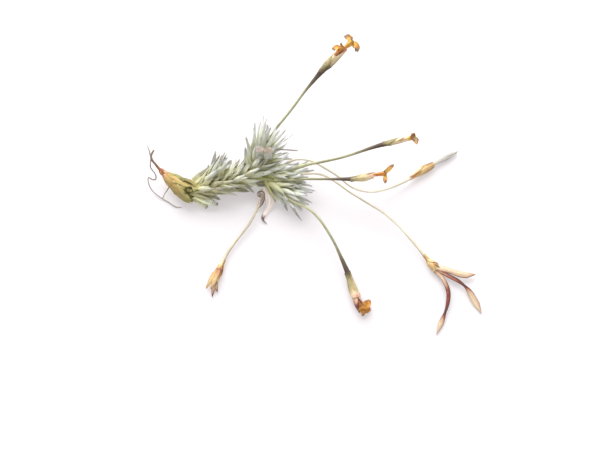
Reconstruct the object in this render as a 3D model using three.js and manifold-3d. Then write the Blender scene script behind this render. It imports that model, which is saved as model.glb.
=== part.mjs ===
// An aizoides air plant that lies on its side on a flat surface: roots, an old sheathed base, five
// leafy shoots, seven thread-like stalks and the bracts, blooms and dry capsules at their ends.
// Millimetres, +Z up. The surface is z = 0, and the origin is on the flat underside of the leaf
// that the plant rests on. +X runs from the old base towards the young crowns and the blooms.
import * as THREE from 'three';
import { mergeVertices } from 'three/addons/utils/BufferGeometryUtils.js';
import Module from 'manifold-3d';

const wasm = await Module();
wasm.setup();

const DEGREE = Math.PI / 180;
const GOLDEN_ANGLE = 137.508 * DEGREE;
const UP = new THREE.Vector3(0, 0, 1);
const TINY = 1e-6;

// Driving dimensions
const CLEARANCE = 0.15; // left between pieces that touch
const FINEST = 0.03; // corners that move a surface less than this are dropped
const REST_HEIGHT = 0.38; // middle of a leaf that lies on the surface
const REST_SOFTNESS = 0.35; // over how much height a leaf bends flat onto it
const STALK = {
  radius: 0.32,
  thickens: 0.72, // share of its length from which it widens to its bract
  clear: 0.9, // how far the middle of a leaf keeps from the middle of a stalk
  points: 61, // places along a stalk from which that is measured
  sides: 6,
  step: 1.9,
};
const STEM = { taper: [1, 1, 0.9, 0.55], sides: 7, step: 2.5 };
const LEAF = {
  halfWidth: 1.0,
  narrowing: 0.6, // power of the remaining length that the width follows
  keel: 0.55, // from the middle to the keel on the outer side
  face: 0.2, // from the middle to the hollowed inner side
  cup: 0.1,
  rooted: 0.35, // how far out in the stem its foot lies, as a share of the stem's radius
  setBack: 0.4, // how far its foot lies back along the stem
  footSpread: 1.2, // the spread at its foot, as a share of its own
  sides: 5,
  steps: 3,
};
// How far leaves differ: lowest and highest share of each measure, the turn in radians and the
// bend to one side in millimetres.
const LEAF_RANGE = {
  turn: [0, 0.5],
  spread: [0.85, 1.15],
  length: [0.88, 1.12],
  endSpread: [0.5, 1.2],
  sway: [-0.8, 0.8],
};
const SHEATH = {
  length: 6.4,
  shortest: 0.55, // share of that length which the narrowest ones keep
  halfWidth: 2.0,
  keel: 0.4,
  face: 0.3,
  cup: 0.17,
  sunk: 0.35, // how deep its foot lies in the stem
  setBack: 1.0,
  lift: 16 * DEGREE,
  tuck: -4 * DEGREE,
  turn: [0, 0.6],
  sides: 7,
  steps: 3,
};

// The shoots: the line of each stem, its radius, and the leaves from the share of its length where
// they begin. Spreads are in degrees between leaf and stem, near the foot and in the crown, and
// they are wider on the side that favour points to and narrower on the other.
const SHOOTS = {
  main_shoot: {
    line: [[-17.6, -2.9, 3.1], [-14.2, -2.7, 3.2], [-11.2, -2.1, 3.4], [-7.9, -1.3, 3.6],
      [-4.1, -0.1, 3.8], [-1.5, 0.8, 4.0], [1.5, 1.4, 4.2], [4.6, 1.2, 4.4], [7.2, 0.5, 4.7],
      [8.8, 0.2, 5.0]],
    stem: 1.5, leaves: 60, first: 0.02, foot: 36, crown: 25, length: 6.3, crownLength: 7.2,
    favour: [0, 0.3, 0.25], seed: 11,
  },
  upper_shoot: {
    line: [[-1.5, 1.7, 4.4], [0.0, 3.7, 5.6], [1.5, 6.0, 7.1], [2.3, 7.1, 7.9]],
    stem: 1.1, leaves: 30, first: 0.05, foot: 54, crown: 26, length: 6.0, crownLength: 8.8,
    favour: [0, 0.1, 0.1], seed: 23,
  },
  lower_shoot: {
    line: [[1.5, 0.7, 4.2], [4.0, -1.4, 4.0], [6.0, -2.7, 3.9], [8.4, -4.0, 3.9]],
    stem: 1.0, leaves: 20, first: 0.2, foot: 30, crown: 24, length: 6.6, crownLength: 7.0,
    favour: [0.3, 0.1, 0.1], seed: 37,
  },
  back_shoot: {
    line: [[-15.2, -2.2, 4.0], [-12.4, -0.7, 4.8], [-10.6, 0.8, 5.7]],
    stem: 0.8, leaves: 9, first: 0.2, foot: 38, crown: 15, length: 6.2, crownLength: 7.0,
    favour: [0.2, 0, 0.1], seed: 41,
  },
  low_shoot: {
    line: [[-15.2, -3.4, 2.6], [-13.6, -4.0, 2.1], [-12.4, -4.5, 1.7]],
    stem: 0.8, leaves: 6, first: 0.2, foot: 24, crown: 12, length: 4.6, crownLength: 3.8,
    favour: [0.2, 0.2, 0], seed: 53,
  },
};

// The leaves that carry the plant leave the main stem and lie flat on the surface. The first runs
// through the origin, and the others keep the plant from rolling over to its far side.
const REST_LEAVES = [
  [[-2.8, 0.4, 2.9], [-2.2, 0.2, 1.5], [-1.2, 0.0, 0.27], [0.4, 0.0, 0.24], [1.9, -0.1, 0.25],
    [4.9, -0.3, 0.32]],
  [[-9.8, -1.2, 3.3], [-8.8, 0.6, 1.6], [-7.4, 2.1, 0.34], [-5.0, 3.4, 0.28]],
  [[1.6, 1.9, 3.9], [2.8, 3.3, 1.9], [4.4, 4.5, 0.34], [7.0, 5.4, 0.28]],
];

const OLD_BASE = {
  line: [[-24.6, 2.5, 4.1], [-22.6, 0.7, 3.5], [-20.5, -1.1, 3.1], [-18.2, -2.6, 3.0],
    [-15.8, -3.0, 3.1]],
  radii: [0.45, 1.15, 1.85, 2.4, 0.95],
  sides: 9,
  step: 1.6,
  sheaths: 12,
  firstSheath: 0.12,
  lastSheath: 0.88,
  seed: 5,
};

// Roots: the drawn-out end of the old stem, one long wiry root that crosses it, and a side root.
const ROOTS = [
  {
    line: [[-24.4, 2.3, 4.0], [-25.6, 3.5, 4.9], [-26.5, 4.5, 5.6], [-26.8, 5.5, 6.0], [-26.1, 6.9, 6.6]],
    radius: 0.36,
  },
  {
    line: [[-27.9, 8.1, 7.2], [-27.3, 6.7, 6.8], [-26.9, 4.7, 5.9], [-27.0, 2.9, 5.0], [-26.2, 1.8, 4.3],
      [-25.7, 1.2, 3.6], [-25.7, 0.3, 3.0], [-26.6, 0.4, 2.4], [-27.7, 1.2, 1.9], [-27.7, 0.0, 1.4],
      [-26.8, -1.9, 1.0], [-24.4, -3.9, 0.5], [-22.6, -4.9, 0.26], [-20.5, -6.3, 0.26],
      [-19.0, -6.3, 0.26]],
    radius: 0.26,
  },
  {
    line: [[-24.0, -4.0, 0.5], [-23.6, -3.2, 0.9], [-22.3, -1.5, 2.0]],
    radius: 0.26,
  },
];
const ROOT_FACES = { sides: 5, step: 1.2 };

// Stalks with the bract at the end of each. A stalk thickens to endRadius under its bract.
const STALKS = [
  {
    line: [[2.6, 7.4, 8.3], [4.6, 10.0, 11.2], [9.0, 14.4, 15.0], [12.8, 18.6, 18.0], [16.5, 22.3, 20.6]],
    endRadius: 0.75,
    bract: [[16.6, 22.4, 20.7], [19.0, 24.6, 21.7], [21.2, 26.6, 22.6]],
    bractRadii: [0.8, 1.1, 1.15, 1.0, 0.85],
    fresh: true,
  },
  {
    line: [[7.0, 0.9, 5.8], [10.2, 1.7, 7.3], [13.3, 2.1, 8.6], [16.3, 2.3, 9.6], [22.6, 3.1, 11.5],
      [29.4, 4.7, 13.5], [32.2, 5.3, 14.2]],
    endRadius: 0.62,
    bract: [[32.3, 5.3, 14.2], [34.4, 5.6, 14.8], [36.6, 6.0, 15.3]],
    bractRadii: [0.66, 0.8, 0.85, 0.8, 0.7],
    fresh: true,
  },
  {
    line: [[6.8, -1.0, 5.5], [9.4, -1.4, 7.0], [12.3, -1.6, 8.0], [16.3, -2.0, 9.0], [20.3, -2.5, 10.2],
      [24.1, -2.8, 11.0]],
    endRadius: 0.6,
    bract: [[24.2, -2.8, 11.0], [27.2, -2.6, 11.8], [30.4, -2.1, 12.4]],
    bractRadii: [0.64, 0.95, 1.0, 0.85, 0.65],
    fresh: true,
  },
  {
    line: [[5.9, 2.2, 4.9], [8.0, 3.2, 6.8], [10.5, 3.7, 8.2], [14.0, 3.2, 8.6], [17.6, 1.4, 8.0],
      [20.9, -0.4, 7.0], [24.0, -2.5, 5.5], [27.3, -3.4, 4.3], [30.7, -3.2, 3.4], [35.6, -1.3, 2.4],
      [39.6, 1.1, 1.5]],
    endRadius: 0.42,
    bract: [[39.8, 1.2, 1.45], [43.0, 3.4, 1.1], [46.3, 5.5, 1.05]],
    bractRadii: [0.55, 1.0, 1.15, 1.0, 0.8],
    fresh: false,
  },
  {
    line: [[7.0, 0.0, 4.3], [9.6, 0.3, 6.2], [12.3, 0.1, 7.1], [15.3, 0.2, 7.2], [17.9, -0.5, 7.0],
      [20.4, -1.9, 6.6], [24.0, -4.3, 5.8], [28.5, -6.9, 4.8], [32.9, -9.5, 3.9], [36.6, -12.8, 3.1],
      [40.4, -17.1, 2.3], [42.6, -19.8, 1.7]],
    endRadius: 0.42,
    bract: [[42.7, -19.9, 1.65], [44.4, -22.0, 1.35], [46.0, -23.8, 1.3]],
    bractRadii: [0.55, 1.1, 1.35, 1.25],
    fresh: false,
  },
  {
    line: [[6.6, -4.1, 4.5], [8.4, -5.9, 5.0], [10.2, -7.1, 5.4], [13.5, -9.0, 6.0], [16.2, -11.8, 6.0],
      [19.6, -17.1, 5.0], [21.8, -21.6, 3.6], [23.3, -24.9, 2.5]],
    endRadius: 0.75,
    bract: [[23.35, -25.0, 2.45], [24.6, -28.7, 1.7], [25.8, -32.3, 1.4]],
    bractRadii: [0.8, 1.05, 1.25, 1.4, 1.3],
    fresh: true,
  },
  {
    line: [[1.7, -2.6, 3.6], [1.0, -5.6, 2.5], [-0.2, -8.6, 1.9], [-1.8, -11.6, 1.5], [-4.8, -15.6, 1.2],
      [-7.0, -18.8, 1.15], [-8.1, -20.9, 1.15]],
    endRadius: 0.5,
    bract: [[-8.15, -21.0, 1.15], [-9.4, -24.2, 1.05], [-10.4, -27.4, 1.0]],
    bractRadii: [0.6, 0.95, 1.1, 1.0, 0.8],
    fresh: false,
  },
];
const BRACT_SIDES = 8;

const OLD_STALK = {
  line: [[3.4, 6.4, 8.3], [5.4, 6.6, 8.8], [8.0, 6.4, 8.8], [10.7, 6.2, 8.4]],
  step: 2.4,
};

// Blooms: the tube of each, and its petals as azimuth round the tube, opening angle at the
// throat and at the tip, all in degrees, and length.
const FLOWERS = {
  flower_1: {
    line: [[20.3, 25.7, 22.2], [22.4, 27.8, 23.0], [24.2, 29.2, 23.6]],
    radii: [0.4, 0.45, 0.5, 0.55],
    petals: [[0, 35, 165, 4.4], [185, 40, 150, 3.8], [85, 30, 125, 3.6]],
  },
  flower_1_side: {
    line: [[20.0, 25.9, 23.6], [20.9, 27.0, 23.9], [21.9, 28.1, 24.3]],
    radii: [0.36, 0.4, 0.42],
    petals: [[170, 60, 150, 3.4], [100, 30, 70, 2.6]],
  },
  flower_2: {
    line: [[35.4, 5.8, 15.0], [37.4, 6.1, 15.4], [39.6, 6.5, 15.9]],
    radii: [0.42, 0.5, 0.45, 0.4],
    petals: [[150, 30, 120, 2.4], [20, 20, 110, 3.2], [-90, 30, 130, 2.6]],
  },
  flower_3: {
    line: [[29.0, -2.3, 12.2], [31.0, -2.1, 12.5], [32.7, -2.0, 12.8]],
    radii: [0.38, 0.4, 0.42],
    petals: [[175, 40, 35, 3.6], [0, 70, 105, 2.8], [90, 30, 140, 2.4]],
  },
  flower_6: {
    line: [[25.3, -30.8, 1.55], [26.1, -33.0, 1.5], [26.6, -34.2, 1.4]],
    radii: [0.5, 0.6, 0.6],
    petals: [[180, 60, 170, 4.6], [130, 60, 190, 4.2], [0, 10, -14, 3.2]],
  },
};
const FLOWER_TUBE = { sides: 7, steps: 3 };
const PETAL = {
  halfWidths: [0.42, 0.5, 0.66, 0.72, 0.5, 0],
  thickness: 0.32,
  rooted: 0.4, // how far its foot lies back in the tube
};

// Open capsules: each valve is a narrow arm with a boat-shaped end.
const VALVES = {
  capsule_5: [
    {
      line: [[45.6, -23.0, 1.4], [48.0, -23.6, 1.6], [50.6, -24.6, 1.8], [53.0, -25.0, 1.6],
        [55.6, -24.9, 1.1]],
      halfWidths: [0.8, 0.9, 0.7, 0.95, 0.85, 0],
    },
    {
      line: [[45.9, -23.6, 1.3], [48.6, -25.2, 1.6], [51.6, -27.0, 1.5], [53.6, -28.8, 1.2],
        [55.4, -31.8, 0.7], [56.8, -34.9, 0.45]],
      halfWidths: [0.5, 0.6, 0.6, 0.35, 0.95, 0.9, 0],
    },
    {
      line: [[45.4, -23.8, 1.2], [47.4, -26.2, 1.5], [48.6, -29.4, 1.6], [48.4, -32.4, 1.2],
        [47.2, -36.2, 0.7], [45.4, -40.4, 0.4]],
      halfWidths: [0.6, 0.6, 0.65, 0.6, 0.4, 0.85, 0],
    },
  ],
  capsule_7: [
    {
      line: [[-10.0, -26.4, 0.95], [-10.6, -28.4, 0.8], [-10.9, -30.6, 0.5]],
      halfWidths: [0.5, 0.55, 0],
    },
    {
      line: [[-9.9, -26.2, 0.95], [-9.9, -27.8, 0.8], [-9.6, -29.4, 0.6]],
      halfWidths: [0.4, 0.5, 0],
    },
  ],
};
const VALVE = { thickness: 0.32, cup: 0.12 };

const SEED_PLUME = {
  line: [[44.6, 4.5, 1.05], [47.6, 6.3, 0.9], [51.8, 8.7, 0.7]],
  radii: [0.5, 0.6, 0.5, 0.3],
  sides: 7,
  steps: 3,
};
const DRY_LEAVES = [
  {
    line: [[2.4, -1.6, 3.4], [1.6, -3.9, 2.2], [0.9, -5.8, 1.3], [0.8, -8.0, 0.6]],
    halfWidths: [0.6, 0.85, 0.8, 0],
  },
  {
    line: [[2.4, -1.6, 3.4], [2.9, -4.6, 2.4], [3.2, -7.0, 1.4], [3.1, -9.0, 0.8], [2.2, -10.7, 0.4]],
    halfWidths: [0.6, 0.9, 0.9, 0.7, 0],
  },
];
const DRY_LEAF = { thickness: 0.32, cup: 0.15 };

// Blades of one thickness: their number of sides, and what is left of the thickness at the tip.
const BLADE = { sides: 6, tip: 0.6 };

const COLOURS = {
  leaf: '#a9b29c',
  oldBase: '#c19a5c',
  root: '#6b4c38',
  freshStalk: '#8d9565',
  dryStalk: '#d2c6a6',
  freshBract: '#cdb482',
  dryBract: '#c8965a',
  petal: '#d4872c',
  capsule: '#a9623f',
  plume: '#dad7cc',
  dryLeaf: '#d8cab0',
};
const ROUGHNESS = 0.75;

function vector([x, y, z]) {
  return new THREE.Vector3(x, y, z);
}

function mix(a, b, share) {
  return a + (b - a) * share;
}

// Value between equally spaced stations, by straight lines.
function profile(values) {
  const spans = values.length - 1;
  return (share) => {
    const place = Math.min(Math.max(share, 0), 1) * spans;
    const station = Math.min(Math.floor(place), spans - 1);
    return mix(values[station], values[station + 1], place - station);
  };
}

// Repeatable draws, each between the lowest and the highest value it is asked for.
function seededDraw(seed) {
  const multiplier = 48271;
  const modulus = 2147483647;
  let state = seed;
  return ([lowest, highest]) => {
    state = (state * multiplier) % modulus;
    return mix(lowest, highest, state / modulus);
  };
}

function smoothLine(points) {
  const curve = new THREE.CatmullRomCurve3(points.map(vector));
  return (share) => curve.getPointAt(Math.min(Math.max(share, 0), 1));
}

function tangentOf(at, share) {
  const step = 0.01;
  return at(Math.min(share + step, 1)).sub(at(Math.max(share - step, 0))).normalize();
}

// Directions at a place on a stem: along it, away from it at an azimuth, and round it.
function directionsAt(at, share, azimuth) {
  const forward = tangentOf(at, share);
  const level = forward.clone().cross(UP).normalize();
  const above = level.clone().cross(forward);
  const outward = level.multiplyScalar(Math.cos(azimuth)).addScaledVector(above, Math.sin(azimuth));
  const across = forward.clone().cross(outward);
  return { forward, outward, across };
}

// Where a leaf would sink into the surface it bends and lies on it.
function lyingHeight(z) {
  return REST_HEIGHT + REST_SOFTNESS * Math.log(1 + Math.exp((z - REST_HEIGHT) / REST_SOFTNESS));
}

function solidOf(geometry) {
  geometry.deleteAttribute('normal');
  geometry.deleteAttribute('uv');
  const merged = mergeVertices(geometry);
  return new wasm.Manifold(new wasm.Mesh({
    numProp: 3,
    vertProperties: new Float32Array(merged.attributes.position.array),
    triVerts: new Uint32Array(merged.index.array),
  }));
}

// Sections of a sweep: the middle of each, and the directions across the line and away from it.
// The line is drawn out by grow at both ends.
function sectionsOf(at, side, steps, grow) {
  const sections = [];
  let across = side.clone();
  for (let row = 0; row <= steps; row += 1) {
    const share = row / steps;
    const along = tangentOf(at, share);
    across = across.clone().addScaledVector(along, -across.dot(along)).normalize();
    const outward = across.clone().cross(along);
    const middle = at(share).addScaledVector(along, grow * (2 * share - 1));
    sections.push({ share, across, outward, middle });
  }
  return sections;
}

// A closed skin along a line: a cylinder bent to it. half, keel and face give the distance from
// the line to the skin sideways, outwards and inwards, and cup bends the section round a stem.
// The skin of the same piece grown by some clearance is the one that its neighbours are cut with.
function sweep(spec, grow) {
  const { at, sides, steps, pointed = false, half, keel = half, face = half, cup = 0 } = spec;
  const { side = tangentOf(at, 0).cross(UP) } = spec;
  const sections = sectionsOf(at, side, steps, grow);
  const geometry = new THREE.CylinderGeometry(pointed ? 0 : 1, 1, 1, sides, steps);
  const skin = geometry.attributes.position;
  for (let index = 0; index < skin.count; index += 1) {
    const { share, across, outward, middle } = sections[Math.round((skin.getY(index) + 0.5) * steps)];
    const reach = Math.hypot(skin.getX(index), skin.getZ(index));
    const isTip = pointed && share === 1;
    const point = middle.clone();
    if (reach > TINY && !isTip) {
      const out = skin.getZ(index) / reach;
      const lateral = (skin.getX(index) / reach) * (half(share) + grow);
      const depth = out * ((out > 0 ? keel(share) : face(share)) + grow);
      point.addScaledVector(across, lateral);
      point.addScaledVector(outward, depth - cup * lateral * lateral);
    }
    skin.setXYZ(index, point.x, point.y, point.z);
  }
  return solidOf(geometry);
}

// A round rod along points, with sections about one step apart.
function rod(points, radiusAt, { sides, step }, grow) {
  const curve = new THREE.CatmullRomCurve3(points.map(vector));
  const steps = Math.max(2, Math.round(curve.getLength() / step));
  return sweep({ at: smoothLine(points), sides, steps, half: radiusAt }, grow);
}

function blade({ at, side, halfWidths, thickness, cup = 0 }, grow) {
  const steps = halfWidths.length - 1;
  const depth = (share) => thickness * (share > 1 - 0.5 / steps ? BLADE.tip : 1);
  return sweep({
    at,
    side,
    sides: BLADE.sides,
    steps,
    pointed: true,
    half: profile(halfWidths),
    keel: depth,
    face: depth,
    cup,
  }, grow);
}

// A line that starts at base and turns, in the plane of forward and outward, from one angle to
// another at an even rate.
function turningLine(base, forward, outward, length, startAngle, endAngle) {
  return (share) => {
    const halfTurn = ((endAngle - startAngle) * share) / 2;
    const heading = startAngle + halfTurn;
    const chord = Math.abs(halfTurn) < TINY ? 1 : Math.sin(halfTurn) / halfTurn;
    return base.clone()
      .addScaledVector(forward, share * length * chord * Math.cos(heading))
      .addScaledVector(outward, share * length * chord * Math.sin(heading));
  };
}

const stalkPoints = STALKS.flatMap(({ line }) => {
  const at = smoothLine(line);
  return Array.from({ length: STALK.points }, (_, index) => at(index / (STALK.points - 1)));
});

// Leaves part round the stalks that come out between them, from their first third on.
function clearOfStalks(point, share) {
  const strength = Math.min(1, share * 3);
  for (const stalkPoint of stalkPoints) {
    const apart = point.clone().sub(stalkPoint);
    const distance = apart.length();
    if (distance < STALK.clear && distance > TINY) {
      point.addScaledVector(apart, ((STALK.clear - distance) * strength) / distance);
    }
  }
  return point;
}

// The leaves of a shoot stand in a spiral, each turned by the golden angle from the last.
function leavesOf(shoot) {
  const draw = seededDraw(shoot.seed);
  const axis = smoothLine(shoot.line);
  const leaves = [];
  for (let index = 0; index < shoot.leaves; index += 1) {
    const age = (index + 0.5) / shoot.leaves;
    const place = mix(shoot.first, 1, age);
    const azimuth = index * GOLDEN_ANGLE + draw(LEAF_RANGE.turn);
    const { forward, outward, across } = directionsAt(axis, place, azimuth);
    const favoured = 1 + outward.dot(vector(shoot.favour));
    const spread = mix(shoot.foot, shoot.crown, age) * DEGREE * favoured * draw(LEAF_RANGE.spread);
    const length = mix(shoot.length, shoot.crownLength, age) * draw(LEAF_RANGE.length);
    const endSpread = spread * draw(LEAF_RANGE.endSpread);
    const sway = draw(LEAF_RANGE.sway);
    const base = axis(place)
      .addScaledVector(outward, shoot.stem * LEAF.rooted)
      .addScaledVector(forward, -LEAF.setBack);
    const line = turningLine(base, forward, outward, length, spread * LEAF.footSpread, endSpread);
    const at = (share) => {
      const point = line(share).addScaledVector(across, sway * share * share);
      point.z = lyingHeight(point.z);
      return clearOfStalks(point, share);
    };
    leaves.push({ at, side: across });
  }
  return leaves;
}

function leafSolid({ at, side }, grow) {
  return sweep({
    at,
    side,
    sides: LEAF.sides,
    steps: LEAF.steps,
    pointed: true,
    half: (share) => LEAF.halfWidth * (1 - share) ** LEAF.narrowing,
    keel: (share) => LEAF.keel * (1 - share ** 4),
    face: () => LEAF.face,
    cup: LEAF.cup,
  }, grow);
}

function leafyShoot(shoot, extra = []) {
  const leaves = [...leavesOf(shoot), ...extra];
  const radius = profile(STEM.taper.map((share) => shoot.stem * share));
  return (grow) => wasm.Manifold.union([
    rod(shoot.line, radius, STEM, grow),
    ...leaves.map((leaf) => leafSolid(leaf, grow)),
  ]);
}

// The old base: a tapering stem under broad sheaths that overlap like roof tiles.
function oldBase(grow) {
  const draw = seededDraw(OLD_BASE.seed);
  const axis = smoothLine(OLD_BASE.line);
  const radius = profile(OLD_BASE.radii);
  const widest = Math.max(...OLD_BASE.radii);
  const solids = [rod(OLD_BASE.line, radius, OLD_BASE, grow)];
  for (let index = 0; index < OLD_BASE.sheaths; index += 1) {
    const place = mix(OLD_BASE.firstSheath, OLD_BASE.lastSheath, index / (OLD_BASE.sheaths - 1));
    const azimuth = index * GOLDEN_ANGLE + draw(SHEATH.turn);
    const { forward, outward, across } = directionsAt(axis, place, azimuth);
    const scale = radius(place) / widest;
    const length = SHEATH.length * mix(SHEATH.shortest, 1, scale);
    const base = axis(place)
      .addScaledVector(outward, radius(place) - SHEATH.sunk)
      .addScaledVector(forward, -SHEATH.setBack);
    solids.push(sweep({
      at: turningLine(base, forward, outward, length, SHEATH.lift, SHEATH.tuck),
      side: across,
      sides: SHEATH.sides,
      steps: SHEATH.steps,
      pointed: true,
      half: (share) => SHEATH.halfWidth * scale * Math.sqrt(1 - share),
      keel: () => SHEATH.keel,
      face: () => SHEATH.face,
      cup: SHEATH.cup / scale,
    }, grow));
  }
  return wasm.Manifold.union(solids);
}

function stalk({ line, endRadius }, grow) {
  const widening = (share) => Math.max(0, (share - STALK.thickens) / (1 - STALK.thickens));
  return rod(line, (share) => mix(STALK.radius, endRadius, widening(share)), STALK, grow);
}

function oldStalk(grow) {
  return rod(OLD_STALK.line, () => STALK.radius, { sides: STALK.sides, step: OLD_STALK.step }, grow);
}

// A rod whose radii are given at equal steps.
function rolled({ line, radii, sides, steps = radii.length - 1 }, grow) {
  return sweep({ at: smoothLine(line), sides, steps, half: profile(radii) }, grow);
}

function bract({ bract: line, bractRadii: radii }, grow) {
  return rolled({ line, radii, sides: BRACT_SIDES }, grow);
}

function petal(throat, [azimuth, open, close, length], grow) {
  const { forward, outward, across } = directionsAt(throat, 1, azimuth * DEGREE);
  const base = throat(1).addScaledVector(forward, -PETAL.rooted);
  const line = turningLine(base, forward, outward, length, open * DEGREE, close * DEGREE);
  const at = (share) => {
    const point = line(share);
    point.z = Math.max(point.z, PETAL.thickness);
    return point;
  };
  return blade({ at, side: across, halfWidths: PETAL.halfWidths, thickness: PETAL.thickness }, grow);
}

function flower({ line, radii, petals }, grow) {
  const throat = smoothLine(line);
  return wasm.Manifold.union([
    rolled({ line, radii, ...FLOWER_TUBE }, grow),
    ...petals.map((measures) => petal(throat, measures, grow)),
  ]);
}

function capsule(list, grow) {
  return wasm.Manifold.union(list.map(({ line, halfWidths }) => {
    const at = smoothLine(line);
    return blade({ at, side: tangentOf(at, 0).cross(UP), halfWidths, ...VALVE }, grow);
  }));
}

function dryLeaves(grow) {
  return wasm.Manifold.union(DRY_LEAVES.map(({ line, halfWidths }) => (
    blade({ at: smoothLine(line), side: new THREE.Vector3(1, 0, 0), halfWidths, ...DRY_LEAF }, grow)
  )));
}

function roots(grow) {
  return wasm.Manifold.union(ROOTS.map(({ line, radius }) => rod(line, () => radius, ROOT_FACES, grow)));
}

function largestBody(solid) {
  return solid.decompose().reduce((best, body) => (body.volume() > best.volume() ? body : best));
}

const restLeaves = REST_LEAVES.map((points) => {
  const at = smoothLine(points);
  return { at, side: UP.clone().cross(tangentOf(at, 0)) };
});

function piece(name, colour, make) {
  return { name, colour, make };
}

// In the order in which they keep their shape: each piece is cut back from the ones before it.
const pieces = [
  ...STALKS.map((spec, index) => {
    const colour = spec.fresh ? COLOURS.freshStalk : COLOURS.dryStalk;
    return piece(`stalk_${index + 1}`, colour, (grow) => stalk(spec, grow));
  }),
  piece('old_stalk', COLOURS.root, oldStalk),
  ...Object.entries(FLOWERS).map(([name, spec]) => (
    piece(name, COLOURS.petal, (grow) => flower(spec, grow))
  )),
  piece('seed_plume_4', COLOURS.plume, (grow) => rolled(SEED_PLUME, grow)),
  ...Object.entries(VALVES).map(([name, list]) => (
    piece(name, COLOURS.capsule, (grow) => capsule(list, grow))
  )),
  ...STALKS.map((spec, index) => {
    const colour = spec.fresh ? COLOURS.freshBract : COLOURS.dryBract;
    return piece(`bract_${index + 1}`, colour, (grow) => bract(spec, grow));
  }),
  piece('old_base', COLOURS.oldBase, oldBase),
  ...Object.entries(SHOOTS).map(([name, shoot]) => (
    piece(name, COLOURS.leaf, leafyShoot(shoot, name === 'main_shoot' ? restLeaves : []))
  )),
  piece('dry_leaf', COLOURS.dryLeaf, dryLeaves),
  piece('roots', COLOURS.root, roots),
];

const plant = new THREE.Group();
const taken = [];
for (const { name, colour, make } of pieces) {
  let solid = make(0);
  for (const other of taken) {
    solid = solid.subtract(other);
  }
  solid = largestBody(solid.trimByPlane([0, 0, 1], 0).simplify(FINEST));
  taken.push(make(CLEARANCE));
  const { vertProperties, triVerts } = solid.getMesh();
  const geometry = new THREE.BufferGeometry();
  geometry.setAttribute('position', new THREE.BufferAttribute(vertProperties, 3));
  geometry.setIndex(new THREE.BufferAttribute(triVerts, 1));
  const material = new THREE.MeshStandardMaterial({
    color: colour,
    roughness: ROUGHNESS,
    metalness: 0,
    flatShading: true,
  });
  const mesh = new THREE.Mesh(geometry, material);
  mesh.name = name;
  plant.add(mesh);
}

export default plant;
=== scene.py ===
"""An aizoides air plant that lies on its side: silvery leafy shoots, an old sheathed base with
wiry roots, and thread-like stalks that end in bracts, orange blooms and dry open capsules.

Lengths are in millimetres until a mesh is made. The lines, spreads and seeds of the shoots, stalks
and blooms are those of the solids, so each finer piece has the form of the node it stands for.
"""
import math

import bpy
import numpy as np
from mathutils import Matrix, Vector


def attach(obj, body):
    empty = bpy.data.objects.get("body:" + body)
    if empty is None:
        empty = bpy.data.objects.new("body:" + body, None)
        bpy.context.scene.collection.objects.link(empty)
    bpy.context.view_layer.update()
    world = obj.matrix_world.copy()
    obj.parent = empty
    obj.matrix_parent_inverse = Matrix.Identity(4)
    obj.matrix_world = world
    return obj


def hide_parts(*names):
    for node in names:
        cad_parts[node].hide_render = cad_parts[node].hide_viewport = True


MM = 0.001
DEGREE = math.pi / 180
GOLDEN_ANGLE = 137.508 * DEGREE
UP = np.array([0.0, 0.0, 1.0])

# The camera and what it looks at.
LENS = 120
SENSOR = 36
ELEVATION = 70 * DEGREE
DISTANCE = 511.4
TARGET = (11.2508, -11.1021, 0.0)

# How finely lines are followed
LINE_POINTS = 201
FRAME_POINTS = 61
TANGENT_REACH = 0.01

# Driving dimensions
FLOOR_GAP = 0.03
REST_HEIGHT = 0.38
REST_SOFTNESS = 0.35
STALK_RADIUS = 0.32
STALK_THICKENS = 0.72
STALK_CLEAR = 0.9
STALK_PASSED = 1.8
STALK_POINTS = 61
STALK_SEED = 100
STEM_TAPER = (1, 1, 0.9, 0.55)
STEM_INSIDE = 0.9
LEAF = {
    "half_width": 0.98,
    "narrowing": 0.62,
    "keel": 0.42,
    "face": 0.26,
    "rim": 0.04,
    "cup": 0.13,
    "rooted": 0.35,
    "set_back": 0.4,
    "foot_spread": 1.2,
    "tip": 0.05,
    "waves": 0.05,
    "bend": 0.35,
    "twist": 0.5,
    "columns": 7,
    "rows": 20,
    "rows_to_tip": 1.25,
}
# Scales on each leaf. sizes are how small and how large they are, as shares of this one.
SCALE = {
    "count": 260,
    "length": 0.24,
    "half_width": 0.07,
    "rise": 0.03,
    "sunk": 0.03,
    "sizes": [0.75, 1.25],
    "swing": 0.7,
    "towards_tip": 0.62,
}
SHEATH = {
    "length": 6.4,
    "shortest": 0.55,
    "half_width": 2.0,
    "cup": 0.17,
    "sunk": 0.35,
    "set_back": 1.0,
    "lift": 16 * DEGREE,
    "tuck": -4 * DEGREE,
    "thickness": 0.22,
    "tapered": 0.96,
}
# How much of a sheath's tint comes from where it stands, from its length, from its rim, from chance
# and from how far it faces to the side.
SHEATH_TINT = {"place": 0.4, "along": 0.3, "rim": 0.4, "chance": 0.15, "sideways": 0.22}
EDGE_WAVES = 0.06
ROLL_WAVES = 0.03
ROLL_NERVES = 0.04

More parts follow.
